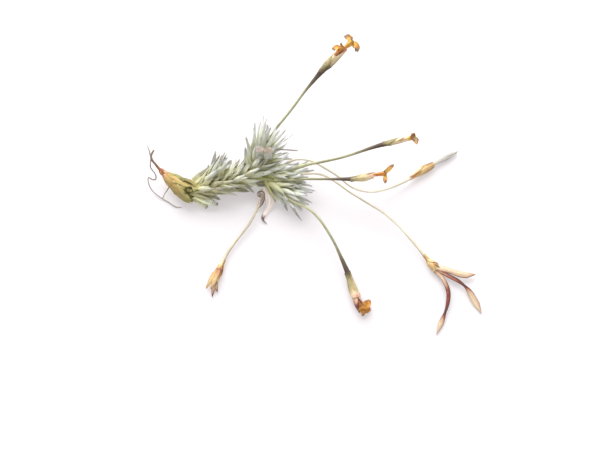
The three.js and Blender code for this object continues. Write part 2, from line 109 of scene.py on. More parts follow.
# A shoot's leaves stand off its line by foot degrees at its foot and crown at its crown, and by more
# on the side of favour. between is how many more stand between them, and drawn_in is how close the
# lowest lie. youth is how young the lowest leaves are, and tone how light all of them are.
SHOOTS = {
    "main_shoot": {
        "line": [[-17.6, -2.9, 3.1], [-14.2, -2.7, 3.2], [-11.2, -2.1, 3.4], [-7.9, -1.3, 3.6],
                 [-4.1, -0.1, 3.8], [-1.5, 0.8, 4.0], [1.5, 1.4, 4.2], [4.6, 1.2, 4.4],
                 [7.2, 0.5, 4.7], [8.8, 0.2, 5.0]],
        "stem": 1.5, "leaves": 60, "first": 0.02, "foot": 36, "crown": 25,
        "youth": -0.1, "tone": [0.0, 1.0],
        "between": 88, "between_reach": 0.88, "drawn_in": 0.6,
        "length": 6.3, "crown_length": 7.2, "favour": [0, 0.3, 0.25], "seed": 11,
    },
    "upper_shoot": {
        "line": [[-1.5, 1.7, 4.4], [0.0, 3.7, 5.6], [1.5, 6.0, 7.1], [2.3, 7.1, 7.9]],
        "stem": 1.1, "leaves": 30, "first": 0.05, "foot": 54, "crown": 26,
        "youth": 0.55, "tone": [0.5, 1.35],
        "between": 20, "between_reach": 0.9, "drawn_in": 0.65,
        "length": 6.0, "crown_length": 8.8, "favour": [0, 0.1, 0.1], "seed": 23,
    },
    "lower_shoot": {
        "line": [[1.5, 0.7, 4.2], [4.0, -1.4, 4.0], [6.0, -2.7, 3.9], [8.4, -4.0, 3.9]],
        "stem": 1.0, "leaves": 20, "first": 0.2, "foot": 30, "crown": 24,
        "youth": 0.42, "tone": [0.0, 1.0],
        "between": 16, "between_reach": 0.95, "drawn_in": 1.0,
        "length": 6.6, "crown_length": 7.0, "favour": [0.3, 0.1, 0.1], "seed": 37,
    },
    "back_shoot": {
        "line": [[-15.2, -2.2, 4.0], [-12.4, -0.7, 4.8], [-10.6, 0.8, 5.7]],
        "stem": 0.8, "leaves": 9, "first": 0.2, "foot": 38, "crown": 15,
        "youth": 0.1, "tone": [-0.5, 0.5],
        "between": 3, "between_reach": 1.0, "drawn_in": 0.8,
        "length": 6.2, "crown_length": 7.0, "favour": [0.2, 0, 0.1], "seed": 41,
    },
    "low_shoot": {
        "line": [[-15.2, -3.4, 2.6], [-13.6, -4.0, 2.1], [-12.4, -4.5, 1.7]],
        "stem": 0.8, "leaves": 6, "first": 0.2, "foot": 24, "crown": 12,
        "youth": 0.25, "tone": [1.0, 1.5], "left": [0.6, 0.75],
        "between": 0, "between_reach": 1.0, "drawn_in": 1.0,
        "length": 4.6, "crown_length": 3.8, "favour": [0.2, 0.2, 0], "seed": 53,
    },
}
BETWEEN_SEED = 100
AGES_APART = 0.3
# Leaves get painted shade where others crowd near them, are greener near one place,
# and dark where they are cut off.
CROWD_SHADE = {"strength": 1.25, "off": 0.9, "least": 0.15}
GREEN_LEAVES = {"middle": [3.0, -2.2, 5.0], "reach": 2.7, "most": 1.6, "strength": [0.5, 1.1]}
CUT_END = {"from": 0.94, "tint": 1.05}
SILVER = {"leaf": 0.45, "scale": 0.9}
# Leaves that the plant lies on.
REST_LEAF_AGE = 0.3
REST_LEAVES = {
    "main_shoot": [
        [[-2.8, 0.4, 2.9], [-2.2, 0.2, 1.5], [-1.2, 0.0, 0.27], [0.4, 0.0, 0.24], [1.9, -0.1, 0.25],
         [4.9, -0.3, 0.32]],
        [[-9.8, -1.2, 3.3], [-8.8, 0.6, 1.6], [-7.4, 2.1, 0.34], [-5.0, 3.4, 0.28]],
        [[1.6, 1.9, 3.9], [2.8, 3.3, 1.9], [4.4, 4.5, 0.34], [7.0, 5.4, 0.28]],
    ],
}
# Single leaves that stand free of the rest, each with its breadth, how young it is and how dark its
# tip is.
FREE_LEAVES = {
    "main_shoot": [
        ([[4.1, 2.0, 6.4], [6.7, 2.3, 7.0], [8.4, 2.6, 6.8], [10.2, 3.1, 6.2]], 0.8, 0.7, 0.1),
        ([[5.1, 1.1, 6.6], [7.9, 1.2, 7.4], [10.5, 1.7, 7.0], [12.8, 1.9, 6.2]], 0.8, 0.8, 0.1),
        ([[5.6, 0.4, 6.4], [8.5, 0.2, 7.2], [11.3, 0.3, 7.0], [14.1, 0.5, 6.0]], 0.8, 0.7, 0.1),
        ([[2.6, 3.4, 7.2], [5.1, 3.7, 7.8], [7.7, 4.2, 7.4], [10.0, 4.3, 6.6]], 0.62, 0.7, 0.3),
        ([[2.6, 4.3, 7.6], [4.4, 4.5, 8.2], [6.2, 5.0, 8.2], [8.1, 5.9, 7.8]], 0.7, 1.0, 0.25),
        ([[-9.2, -0.1, 4.2], [-7.9, 1.4, 5.0], [-6.9, 3.2, 4.9], [-6.1, 5.1, 4.2]], 0.85, 0.3, 0.35),
        ([[-8.2, -0.2, 4.4], [-6.5, 1.3, 5.4], [-5.2, 3.3, 5.4], [-4.4, 5.3, 4.8]], 1.0, 0.5, 0.3),
        ([[-6.4, -0.2, 4.4], [-4.8, 1.3, 5.6], [-3.7, 3.1, 5.8], [-2.7, 5.2, 5.4]], 0.95, 0.6, 0.25),
        ([[-4.6, 0.0, 4.6], [-2.9, 1.5, 6.0], [-1.6, 3.1, 6.4], [-0.9, 5.1, 6.4]], 0.9, 0.6, 0.3),
        ([[-10.7, -0.6, 4.0], [-9.2, 0.3, 4.8], [-7.9, 1.4, 4.8], [-6.8, 2.9, 4.2]], 0.7, 0.4, 0.1),
        ([[-6.9, -0.7, 3.6], [-5.1, -1.7, 3.4], [-3.6, -2.4, 2.6], [-2.0, -2.7, 1.6]], 0.9, 0.3, 0.1),
        ([[-5.1, -0.7, 4.2], [-3.3, -1.5, 4.0], [-1.8, -2.3, 3.2], [-0.3, -3.0, 2.0]], 1.0, 0.4, 0.0),
        ([[-3.3, -0.5, 4.6], [-1.5, -1.2, 4.6], [0.1, -2.1, 4.0], [1.5, -3.0, 2.9]], 0.85, 0.9, 0.0),
        ([[-13.0, -1.9, 3.2], [-11.3, -2.3, 2.8], [-9.5, -2.5, 2.2], [-7.5, -2.5, 1.4]], 0.85, 0.1, 0.1),
    ],
    "back_shoot": [
        ([[-15.9, -0.6, 3.9], [-14.7, 0.6, 4.4], [-13.4, 2.0, 4.4], [-12.2, 3.5, 4.0]], 0.9, -0.3, 1.4),
        ([[-12.5, -1.6, 4.6], [-11.4, 0.4, 5.6], [-10.8, 3.2, 6.2], [-10.1, 6.7, 6.4]], 1.15, 0.25, 0.7),
        ([[-11.0, -0.5, 4.6], [-9.9, 1.8, 5.6], [-9.2, 4.0, 6.0], [-8.1, 6.6, 6.0]], 0.9, 0.15, 0.7),
        ([[-10.2, -0.2, 4.4], [-9.1, 2.1, 5.2], [-8.3, 4.1, 5.4], [-7.5, 6.2, 5.2]], 0.6, 0.3, 0.8),
        ([[-13.5, -1.6, 4.4], [-12.6, 0.1, 5.0], [-12.1, 1.7, 5.2], [-11.9, 3.4, 5.0]], 0.9, 0.0, 0.5),
    ],
    "upper_shoot": [
        ([[0.3, 5.3, 6.5], [-0.5, 7.2, 8.6], [-0.3, 9.8, 10.2], [-0.1, 12.6, 11.4]], 0.75, 1.2, 0.1),
        ([[1.3, 5.6, 7.2], [1.3, 7.3, 9.6], [1.6, 10.3, 11.8], [2.2, 13.7, 13.2]], 0.9, 1.1, 0.0),
        ([[2.6, 5.4, 7.6], [2.9, 7.4, 10.2], [3.1, 9.3, 12.2], [3.3, 11.0, 13.6]], 1.1, 0.8, 0.0),
        ([[3.4, 5.4, 8.2], [4.0, 7.2, 10.6], [4.8, 8.9, 11.8], [5.4, 10.8, 12.4]], 1.1, 0.8, 0.0),
        ([[3.1, 6.4, 7.8], [4.6, 8.2, 9.2], [6.2, 9.3, 10.4], [7.7, 10.5, 11.4]], 0.66, 0.5, 0.35),
        ([[3.6, 6.0, 7.4], [5.4, 6.8, 8.8], [6.7, 7.9, 9.8], [7.9, 9.5, 10.4]], 0.55, 0.9, 0.1),
        ([[-0.5, 3.7, 5.6], [-1.1, 4.9, 7.4], [-1.5, 6.1, 8.6], [-1.6, 7.3, 9.4]], 0.9, 1.0, 0.0),
        ([[-1.8, 3.1, 5.2], [-2.4, 4.7, 6.6], [-2.6, 5.8, 7.6], [-2.6, 6.9, 8.4]], 0.85, 1.0, 0.1),
    ],
    "lower_shoot": [
        ([[7.7, -2.2, 4.6], [10.0, -2.8, 5.2], [12.3, -3.0, 4.8], [15.3, -2.9, 3.6]], 0.75, 0.9, 0.0),
        ([[6.7, -3.9, 4.2], [9.5, -4.9, 4.6], [12.0, -5.6, 4.2], [14.4, -6.4, 3.0]], 0.9, 0.5, 0.3),
        ([[6.9, -3.7, 3.6], [8.6, -6.2, 3.6], [10.0, -8.5, 2.8], [11.9, -10.5, 1.6]], 0.55, 1.2, 0.4),
        ([[5.1, -4.0, 3.6], [6.3, -5.6, 3.4], [7.4, -6.6, 2.6], [8.3, -7.5, 1.6]], 0.85, 1.0, 0.3),
        ([[7.2, -4.3, 4.4], [9.5, -6.1, 4.8], [11.3, -7.0, 4.6], [12.5, -7.6, 4.2]], 0.7, 0.8, 0.0),
    ],
}
# Broad leaves that are broken off. left is the share that is left of each; dry tints its dry end.
BROKEN_LEAVES = {
    "upper_shoot": [
        {"line": [[1.1, 3.4, 4.4], [1.1, 3.7, 7.4], [1.1, 4.1, 11.7], [1.1, 6.6, 13.4],
                  [1.1, 9.5, 14.4]],
         "broad": 1.5, "left": 0.62, "age": 1.2, "tone": -0.55, "dry": 0.28},
        {"line": [[3.2, 3.4, 4.4], [3.2, 3.7, 7.5], [3.1, 3.8, 12.4], [3.2, 6.4, 14.1],
                  [3.2, 9.3, 15.1]],
         "broad": 1.5, "left": 0.6, "age": 1.2, "tone": -0.55, "dry": 0.0},
    ],
    "low_shoot": [
        {"line": [[-15.3, -3.2, 2.9], [-13.6, -3.5, 2.6], [-11.3, -4.0, 2.1], [-9.0, -4.8, 1.3]],
         "broad": 1.25, "left": 0.92, "age": 0.1},
        {"line": [[-15.1, -3.7, 2.8], [-13.3, -5.0, 2.6], [-11.5, -5.6, 2.2], [-9.0, -6.2, 1.2]],
         "broad": 1.4, "left": 0.88, "age": 0.1},
        {"line": [[-15.4, -3.8, 2.4], [-14.1, -5.3, 1.9], [-13.1, -6.1, 1.2], [-11.8, -6.8, 0.6]],
         "broad": 1.4, "left": 0.85, "age": 0.1},
    ],
}
OLD_BASE = {
    "line": [[-24.6, 2.5, 4.1], [-22.6, 0.7, 3.5], [-20.5, -1.1, 3.1], [-18.2, -2.6, 3.0],
             [-15.8, -3.0, 3.1]],
    "radii": [0.45, 1.15, 1.85, 2.4, 0.95],
    "sheaths": 12, "first_sheath": 0.12, "last_sheath": 0.88, "inside": 0.92, "seed": 5,
}
# Strips that lie over the old base, the broken end of a stalk in it, and the knob at its tip.
OLD_SCRAPS = [
    {"line": [[-18.1, -0.6, 4.9], [-16.5, -1.2, 5.2], [-15.2, -2.4, 5.0], [-14.8, -3.6, 4.3]],
     "half_widths": [0.2, 0.42, 0.45, 0.35, 0.1], "tint": 0.45},
    {"line": [[-23.0, 1.3, 4.0], [-21.2, 0.6, 4.3], [-19.2, 0.0, 4.6], [-16.9, -0.6, 4.8]],
     "half_widths": [0.25, 0.5, 0.5, 0.3, 0.1], "tint": 0.72},
    {"line": [[-23.9, 1.4, 3.9], [-23.0, -0.3, 3.8], [-21.6, -2.0, 3.6], [-20.0, -3.5, 3.2]],
     "half_widths": [0.3, 0.5, 0.6, 0.4, 0.1], "tint": 0.08},
    {"line": [[-22.0, 0.5, 4.7], [-20.6, -0.4, 5.0], [-19.2, -1.6, 5.3], [-17.9, -2.6, 5.2]],
     "half_widths": [0.3, 0.6, 0.7, 0.5, 0.2], "tint": 0.35},
    {"line": [[-23.3, 1.9, 3.9], [-21.4, 1.0, 4.35], [-19.4, 0.0, 4.6], [-16.8, -1.3, 4.8]],
     "half_widths": [0.3, 0.55, 0.6, 0.4, 0.1], "tint": 0.72},
    {"line": [[-21.7, 0.3, 4.55], [-20.1, -0.5, 5.0], [-18.3, -1.7, 5.3]],
     "half_widths": [0.2, 0.5, 0.55, 0.25], "tint": 0.72},
    {"line": [[-20.6, -2.9, 4.2], [-18.6, -4.0, 4.1], [-16.3, -4.9, 3.6]],
     "half_widths": [0.2, 0.5, 0.5, 0.2], "tint": 0.68},
]
BROKEN_STUB = {"line": [[-17.5, -3.2, 3.8], [-17.3, -3.5, 4.8], [-17.1, -3.8, 5.5]],
               "radii": [0.85, 0.95, 1.1], "pith": [0.3, 0.5, 0.2], "turns": [0.6, 3.7], "extent": 1.7,
               "outer_tint": 0.78, "inner_tint": 1.0, "pith_tint": 0.88}
KNOB = {"line": [[-24.8, 2.7, 4.2], [-24.1, 2.0, 3.95], [-23.3, 1.2, 3.6]],
        "radii": [0.32, 0.62, 0.8, 0.78, 0.6], "tint": 0.02}
FIBRES = {"count": 26, "radii": [0.06, 0.05, 0.02], "lengths": [1.0, 2.6], "lifts": [0.1, 0.7],
          "turns": [-0.6, 0.9], "rooted": 0.9, "lowest": 0.15}
ROOT_SEED = 17
ROOTS = [
    {"line": [[-24.4, 2.3, 4.0], [-25.6, 3.5, 4.9], [-26.5, 4.5, 5.6], [-26.8, 5.5, 6.0],
              [-26.1, 6.9, 6.6]],
     "radii": [0.42, 0.32, 0.27, 0.3, 0.2], "tint": [0.1, 0.4, 0.5, 0.7, 0.3]},
    {"line": [[-27.9, 8.1, 7.2], [-27.3, 6.7, 6.8], [-26.9, 4.7, 5.9], [-27.0, 2.9, 5.0],
              [-26.2, 1.8, 4.3], [-25.7, 1.2, 3.6], [-25.7, 0.3, 3.0], [-26.6, 0.4, 2.4],
              [-27.7, 1.2, 1.9], [-27.7, 0.0, 1.4], [-26.8, -1.9, 1.0], [-24.4, -3.9, 0.5],
              [-22.6, -4.9, 0.26], [-20.5, -6.3, 0.26], [-19.0, -6.3, 0.26]],
     "radii": [0.08, 0.14, 0.17, 0.15, 0.14, 0.15, 0.16, 0.13, 0.12, 0.11, 0.12, 0.13, 0.15, 0.14, 0.08],
     "tint": [0.9, 0.8, 0.7, 0.8, 0.9, 0.95]},
    {"line": [[-24.0, -4.0, 0.5], [-23.6, -3.2, 0.9], [-22.3, -1.5, 2.0]],
     "radii": [0.11, 0.12, 0.15], "tint": [0.9, 0.85, 0.7]},
]

# A stalk and its bract. tint runs from green or straw, 0, to dark, 1, along the stalk. The bract
# opens at the angle called mouth, and its own tint runs from its foot to its tip. The sepals in it
# end as far past its tip as calyx says.
STALKS = [
    {"line": [[2.6, 7.4, 8.3], [4.6, 10.0, 11.2], [9.0, 14.4, 15.0], [12.8, 18.6, 18.0],
              [16.5, 22.3, 20.6]],
     "end_radius": 0.75, "tint": [0.6, 0.35, 0.2, 0.25, 0.6, 1.0], "mouth": 1.3, "calyx": 2.0,
     "bract": [[16.6, 22.4, 20.7], [19.0, 24.6, 21.7], [21.2, 26.6, 22.6]],
     "bract_radii": [0.85, 1.25, 1.3, 1.1, 0.9], "bract_tint": [0.1, 0.24, 0.38, 0.48, 0.8],
     # Painted shade falls on the bract's side that faces this way, away from the key light.
     "painted_shade_side": [0.75, -0.6, 0.0], "fresh": True},
    {"line": [[7.0, 0.9, 5.8], [10.2, 1.7, 7.3], [13.3, 2.1, 8.6], [16.3, 2.3, 9.6],
              [22.6, 3.1, 11.5], [29.4, 4.7, 13.5], [32.2, 5.3, 14.2]],
     "swelling": {"at": 0.2, "by": 0.2, "reach": 0.06},
     "end_radius": 0.62, "tint": [0.1, 0.05, 0.4, 0.3, 0.6, 1.0], "mouth": 1.5, "calyx": 1.4,
     "bract": [[32.3, 5.3, 14.2], [34.4, 5.6, 14.8], [36.6, 6.0, 15.3]],
     "bract_radii": [0.66, 0.8, 0.85, 0.8, 0.7],
     "bract_tint": [0.1, 0.28, 0.36, 0.45, 0.65], "fresh": True},
    {"line": [[6.8, -1.0, 5.5], [9.4, -1.4, 7.0], [12.3, -1.6, 8.0], [16.3, -2.0, 9.0],
              [20.3, -2.5, 10.2], [24.1, -2.8, 11.0]],
     "end_radius": 0.6, "tint": [0.1, 0.15, 0.3, 0.45, 0.8, 0.95], "mouth": -1.3,
     "drawn_in": 0.35,
     "bract": [[24.2, -2.8, 11.0], [27.2, -2.6, 11.8], [30.4, -2.1, 12.4]],
     "bract_radii": [0.64, 1.0, 1.1, 0.95, 0.7],
     "bract_tint": [0.15, 0.38, 0.52, 0.64, 0.68], "fresh": True},
    {"line": [[5.9, 2.2, 4.9], [8.0, 3.2, 6.8], [10.5, 3.7, 8.2], [14.0, 3.2, 8.6],
              [17.6, 1.4, 8.0], [20.9, -0.4, 7.0], [24.0, -2.5, 5.5], [27.3, -3.4, 4.3],
              [30.7, -3.2, 3.4], [35.6, -1.3, 2.4], [39.6, 1.1, 1.5]],
     "end_radius": 0.42, "tint": [0.3, 0.15, 0.05, 0.05, 0.1, 0.15], "mouth": 0.3,
     "bract": [[39.8, 1.2, 1.45], [43.0, 3.4, 1.1], [46.3, 5.5, 1.05]],
     "bract_radii": [0.55, 1.0, 1.15, 1.0, 0.8],
     "bract_tint": [0.5, 0.4, 0.2, 0.3, 0.3], "fresh": False},
    {"line": [[7.0, 0.0, 4.3], [9.6, 0.3, 6.2], [12.3, 0.1, 7.1], [15.3, 0.2, 7.2],
              [17.9, -0.5, 7.0], [20.4, -1.9, 6.6], [24.0, -4.3, 5.8], [28.5, -6.9, 4.8],
              [32.9, -9.5, 3.9], [36.6, -12.8, 3.1], [40.4, -17.1, 2.3], [42.6, -19.8, 1.7]],
     "end_radius": 0.42, "tint": [0.35, 0.15, 0.1, 0.15, 0.1, 0.3], "mouth": 0.8,
     "bract": [[42.7, -19.9, 1.65], [44.4, -22.0, 1.35], [46.0, -23.8, 1.3]],
     "bract_radii": [0.55, 1.1, 1.35, 1.25],
     "bract_tint": [0.4, 0.3, 0.2, 0.35, 0.1], "fresh": False},
    {"line": [[6.6, -4.1, 4.5], [8.4, -5.9, 5.0], [10.2, -7.1, 5.4], [13.5, -9.0, 6.0],
              [16.2, -11.8, 6.0], [19.6, -17.1, 5.0], [21.8, -21.6, 3.6], [23.3, -24.9, 2.5]],
     "end_radius": 0.75, "tint": [0.0, 0.08, 0.15, 0.3, 0.6, 1.0], "mouth": 2.8, "calyx": 2.6,
     "drawn_in": 0.25,
     "bract": [[23.35, -25.0, 2.45], [24.6, -28.7, 1.7], [25.8, -32.3, 1.4]],
     "bract_radii": [0.8, 1.05, 1.25, 1.4, 1.3],
     "bract_tint": [0.05, 0.25, 0.35, 0.4, 0.86, 0.98], "fresh": True},
    {"line": [[1.7, -2.6, 3.6], [1.0, -5.6, 2.5], [-0.2, -8.6, 1.9], [-1.8, -11.6, 1.5],
              [-4.8, -15.6, 1.2], [-7.0, -18.8, 1.15], [-8.1, -20.9, 1.15]],
     "end_radius": 0.5, "tint": [0.5, 0.5, 0.55, 0.6, 0.6, 0.5], "mouth": -1.0,
     "bract": [[-8.15, -21.0, 1.15], [-9.4, -24.2, 1.05], [-10.4, -27.4, 1.0]],
     "bract_radii": [0.6, 0.95, 1.1, 1.0, 0.8],
     "bract_tint": [0.05, 0.2, 0.75, 0.6, 0.2, 0.2], "fresh": False,
     "shreds": [
         {"line": [[-9.3, -23.6, 2.0], [-10.9, -26.0, 1.8], [-12.0, -27.7, 1.2], [-12.7, -28.9, 0.5]],
          "half_widths": [0.4, 0.85, 0.65, 0.35, 0.05], "tint": [0.75, 0.45, 0.25, 0.35, 0.9]},
         {"line": [[-9.0, -23.8, 2.2], [-10.1, -26.2, 2.2], [-10.9, -28.0, 1.8], [-11.3, -29.4, 1.2]],
          "half_widths": [0.3, 0.6, 0.6, 0.3, 0.05], "tint": [0.75, 0.5, 0.25, 0.3, 0.9]},
     ]},
]
OLD_STALK = {"line": [[3.4, 6.2, 8.3], [5.4, 6.2, 8.7], [8.0, 6.1, 8.7], [10.7, 6.0, 8.4]],
             "radii": [0.22, 0.2, 0.17, 0.19, 0.14], "tint": [0.86, 0.92]}

BRACT_SEED = 200
BRACT = {
    "rooted": 0.08,
    "fit": 0.86,
    "into_stalk": 0.95,
    "core": 0.8,
    "core_tip": 0.5,
    "fresh_edge": -0.2,
    "dry_edge": 0.2,
    # How much painted shade darkens a bract on its side turned from the light.
    "painted_shade_side": 0.4,
    "drawn_in": 0.55,
}
# Each sheet: turn from the mouth, half of the angle it goes round, share of the length, nerves.
BRACT_SHEETS = [(math.pi, 2.65, 0.9, 8), (2.2, 1.2, 0.8, 4), (4.3, 1.0, 0.7, 4)]
SEPALS = {"count": 3, "fit": 0.9, "extent": 1.1, "lengths": [0.93, 1.0], "dark_from": 0.65}

# Each petal: azimuth round the tube, opening angle at the throat and at the tip, in degrees, length
# and twist in radians.
FLOWERS = {
    "flower_1": {
        "seed": 297,
        "line": [[20.3, 25.7, 22.2], [22.4, 27.8, 23.0], [24.2, 29.2, 23.6]],
        "radii": [0.4, 0.45, 0.5, 0.85],
        "petals": [[0, 35, 165, 4.4, -1.3], [185, 40, 150, 3.8, 1.3], [85, 30, 125, 3.6, 0.4],
                   [-60, 60, 120, 2.6, 0.9]],
        "tube_tint": [0.7, 0.6, 0.4, 0.2], "petal_tint": [0.15, 0.16, 0.3, 0.85, 1.0],
    },
    "flower_1_side": {
        "seed": 452,
        "line": [[20.0, 25.9, 23.3], [20.9, 26.8, 23.4], [21.5, 27.5, 23.6]],
        "radii": [0.36, 0.42, 0.6],
        "petals": [[175, 80, 190, 2.5, 1.3], [100, 30, 70, 2.6, 0.3]],
        "tube_tint": [0.6, 0.5], "petal_tint": [0.4, 0.3, 0.25, 0.7, 1.0],
    },
    "flower_2": {
        "seed": 298,
        "line": [[35.4, 5.8, 15.0], [37.4, 6.1, 15.4], [39.6, 6.5, 15.9]],
        "radii": [0.5, 0.55, 0.5, 0.6],
        "petals": [[150, 30, 100, 1.7, 0.9], [20, 20, 130, 3.5, -1.2], [-90, 30, 130, 2.4, 0.5]],
        "tube_tint": [0.0, 0.0, 0.05, 0.6], "petal_tint": [0.7, 0.8, 0.82, 0.7, 0.1],
    },
    "flower_3": {
        "seed": 299,
        "line": [[29.0, -2.3, 12.2], [31.0, -2.1, 12.5], [32.7, -2.0, 12.8]],
        "radii": [0.38, 0.44, 0.62],
        "broad": 0.72,
        "petals": [[175, 42, 30, 4.5, 1.2], [0, 70, 110, 3.4, -1.2], [90, 30, 140, 2.4, 0.3]],
        "tube_tint": [0.5, 0.5, 0.45], "petal_tint": [0.45, 0.16, 0.18, 0.7, 0.95],
    },
    "flower_6": {
        "seed": 302,
        "line": [[25.3, -30.8, 1.55], [26.1, -33.0, 1.5], [26.6, -34.2, 1.4]],
        "radii": [0.6, 0.7, 0.6], "broad": 1.25,
        "petals": [[180, 80, 150, 4.2, 1.4], [130, 60, 170, 3.8, 0.8], [0, 10, -14, 2.6, 0.6],
                   [200, 50, 100, 3.6, 1.2], [100, 50, 150, 3.2, 0.2]],
        "tube_tint": [0.8, 0.7, 0.5], "petal_tint": [0.5, 0.35, 0.3, 0.4, 0.85],
    },
}
PETAL = {"half_widths": [0.6, 0.74, 0.8, 0.76, 0.55, 0.15], "thickness": 0.14, "rooted": 0.4,
         "reach": 0.82, "cup": 0.45, "twisted_by": 0.22, "lowest": 0.32}

# A capsule's valves. lit is painted light that makes one edge of a valve paler than the other.
CAPSULES = {
    "capsule_5": {"seed": 21, "valves": [
        {"line": [[45.6, -23.0, 1.4], [48.0, -23.6, 1.6], [50.6, -24.6, 1.8], [53.0, -25.0, 1.6],
                  [55.6, -24.9, 1.1]],
         "half_widths": [0.7, 0.85, 0.65, 0.85, 0.8, 0.05],
         "tint": [0.15, 0.2, 0.3, 0.2, 0.25, 0.6], "lit": -0.1},
        {"line": [[45.9, -23.6, 1.3], [48.6, -25.2, 1.6], [51.6, -27.0, 1.5], [53.6, -28.8, 1.2],
                  [55.4, -31.8, 0.7], [56.8, -34.9, 0.45]],
         "half_widths": [0.45, 0.52, 0.5, 0.3, 0.85, 0.85, 0.05],
         "tint": [0.7, 0.72, 0.75, 0.95, 0.25, 0.2, 0.35], "lit": 0.25},
        {"line": [[45.4, -23.8, 1.2], [47.4, -26.2, 1.5], [48.6, -29.4, 1.6], [48.4, -32.4, 1.2],
                  [47.2, -36.2, 0.7], [45.4, -40.4, 0.4]],
         "half_widths": [0.55, 0.5, 0.55, 0.5, 0.32, 0.75, 0.05],
         "tint": [0.4, 0.3, 0.75, 0.75, 0.95, 0.2, 0.35], "lit": 0.12},
    ]},
    "capsule_7": {"seed": 14, "valves": [
        {"line": [[-10.0, -26.4, 0.95], [-10.6, -28.4, 0.8], [-10.9, -30.6, 0.5]],
         "half_widths": [0.5, 0.55, 0.05], "tint": [0.2, 0.35, 0.9], "lit": 0.1},
        {"line": [[-9.9, -26.2, 0.95], [-9.9, -27.8, 0.8], [-9.6, -29.4, 0.6]],
         "half_widths": [0.4, 0.5, 0.05], "tint": [0.15, 0.25, 0.8], "lit": 0.1},
    ]},
}
VALVE = {"thickness": 0.3, "cup": 0.3}
SEED_PLUME = {"line": [[44.6, 4.5, 1.05], [47.6, 6.3, 0.9], [51.8, 8.7, 0.7]],
              "radii": [0.7, 0.85, 0.75, 0.4], "hairs": 420, "hair_radii": [0.045, 0.04, 0.02], "seed": 71,
              "grain": {"line": [[50.9, 8.2, 0.75], [51.5, 8.5, 0.72], [52.1, 8.85, 0.7]],
                        "radii": [0.08, 0.2, 0.06], "tint": 1.1}}
CURLED_LEAF = {"line": [[1.3, -4.3, 4.5], [1.3, -4.6, 3.5], [1.1, -5.6, 2.2], [0.8, -6.6, 1.2],
                        [0.5, -7.6, 0.5]],
               "radii": [0.92, 0.88, 0.72, 0.6, 0.4], "turn": 2.4, "extent": 2.5,
               "outer_tint": 0.55, "inner_tint": 0.72, "rim": 0.08}
DRY_LEAF = {"line": [[2.6, -2.0, 3.6], [3.6, -4.6, 2.2], [3.3, -6.4, 1.2], [2.0, -8.6, 0.6],
                     [1.7, -9.7, 0.5], [2.9, -11.1, 0.4]],
            "half_widths": [0.5, 1.3, 1.35, 0.85, 0.5, 0.35, 0.1],
            "tint": [0.3, 0.6, 0.75, 0.7, 0.7, 1.1, 1.1], "twist": 0.4, "seed": 61}
BROKEN_ENDS = {"from": 0.56, "to": 0.69, "half_widths": [0.7, 0.96, 0.9, 0.55], "thickness": 0.16,
               "above": 0.2, "seed": 83}

# Display colours from 0 to 255. In a list, each comes after the tint that it stands at.
BLACK = (0, 0, 0)
WHITE = (255, 255, 255)
STREAK_SHADE = (150, 140, 128)
LEAF_COLOURS = {
    "young": [(0.0, (208, 208, 158)), (0.2, (216, 220, 190)), (0.55, (226, 234, 224)),
              (0.82, (212, 214, 218)), (1.0, (140, 136, 142))],
    "old": [(0.0, (198, 194, 134)), (0.2, (190, 188, 126)), (0.6, (192, 188, 142)),
            (0.85, (164, 162, 136)), (1.0, (104, 98, 86))],
    "green": [(0.0, (200, 202, 96)), (0.5, (164, 174, 78)), (1.0, (132, 138, 86))],
    "streak": (140, 138, 92),
    "frost": (233, 237, 227),
    # shade is the olive of the painted shade that crowded leaves are multiplied by.
    "shade": (190, 180, 122),
}
# A mottle is the size of spots and how far they change a value. The frost is a scatter of silvery
# spots, from none at the first value of the noise to all at the second. shaded is how far painted
# shade darkens a leaf where others crowd it.
LEAF_LOOK = {
    "mottle": (1.2, 0.16),
    "ages": (3.0, 0.3),
    "streaks": (5.0, 2.5),
    "streaked_when_old": 0.45,
    "less_when_young": 0.2,
    "frost_size": 0.16,
    "frost_between": (0.42, 0.62),
    "shaded": 0.4,
    "darkest": 0.86,
    "by_tone": 0.29,
    "pit_size": 0.14,
    "pits": 0.7,
    "relief": 0.06,
    "roughness": 0.72,
}
# How far skins of different tone lie from each other in the noise of their streaks.
STREAKS_APART = 97.0
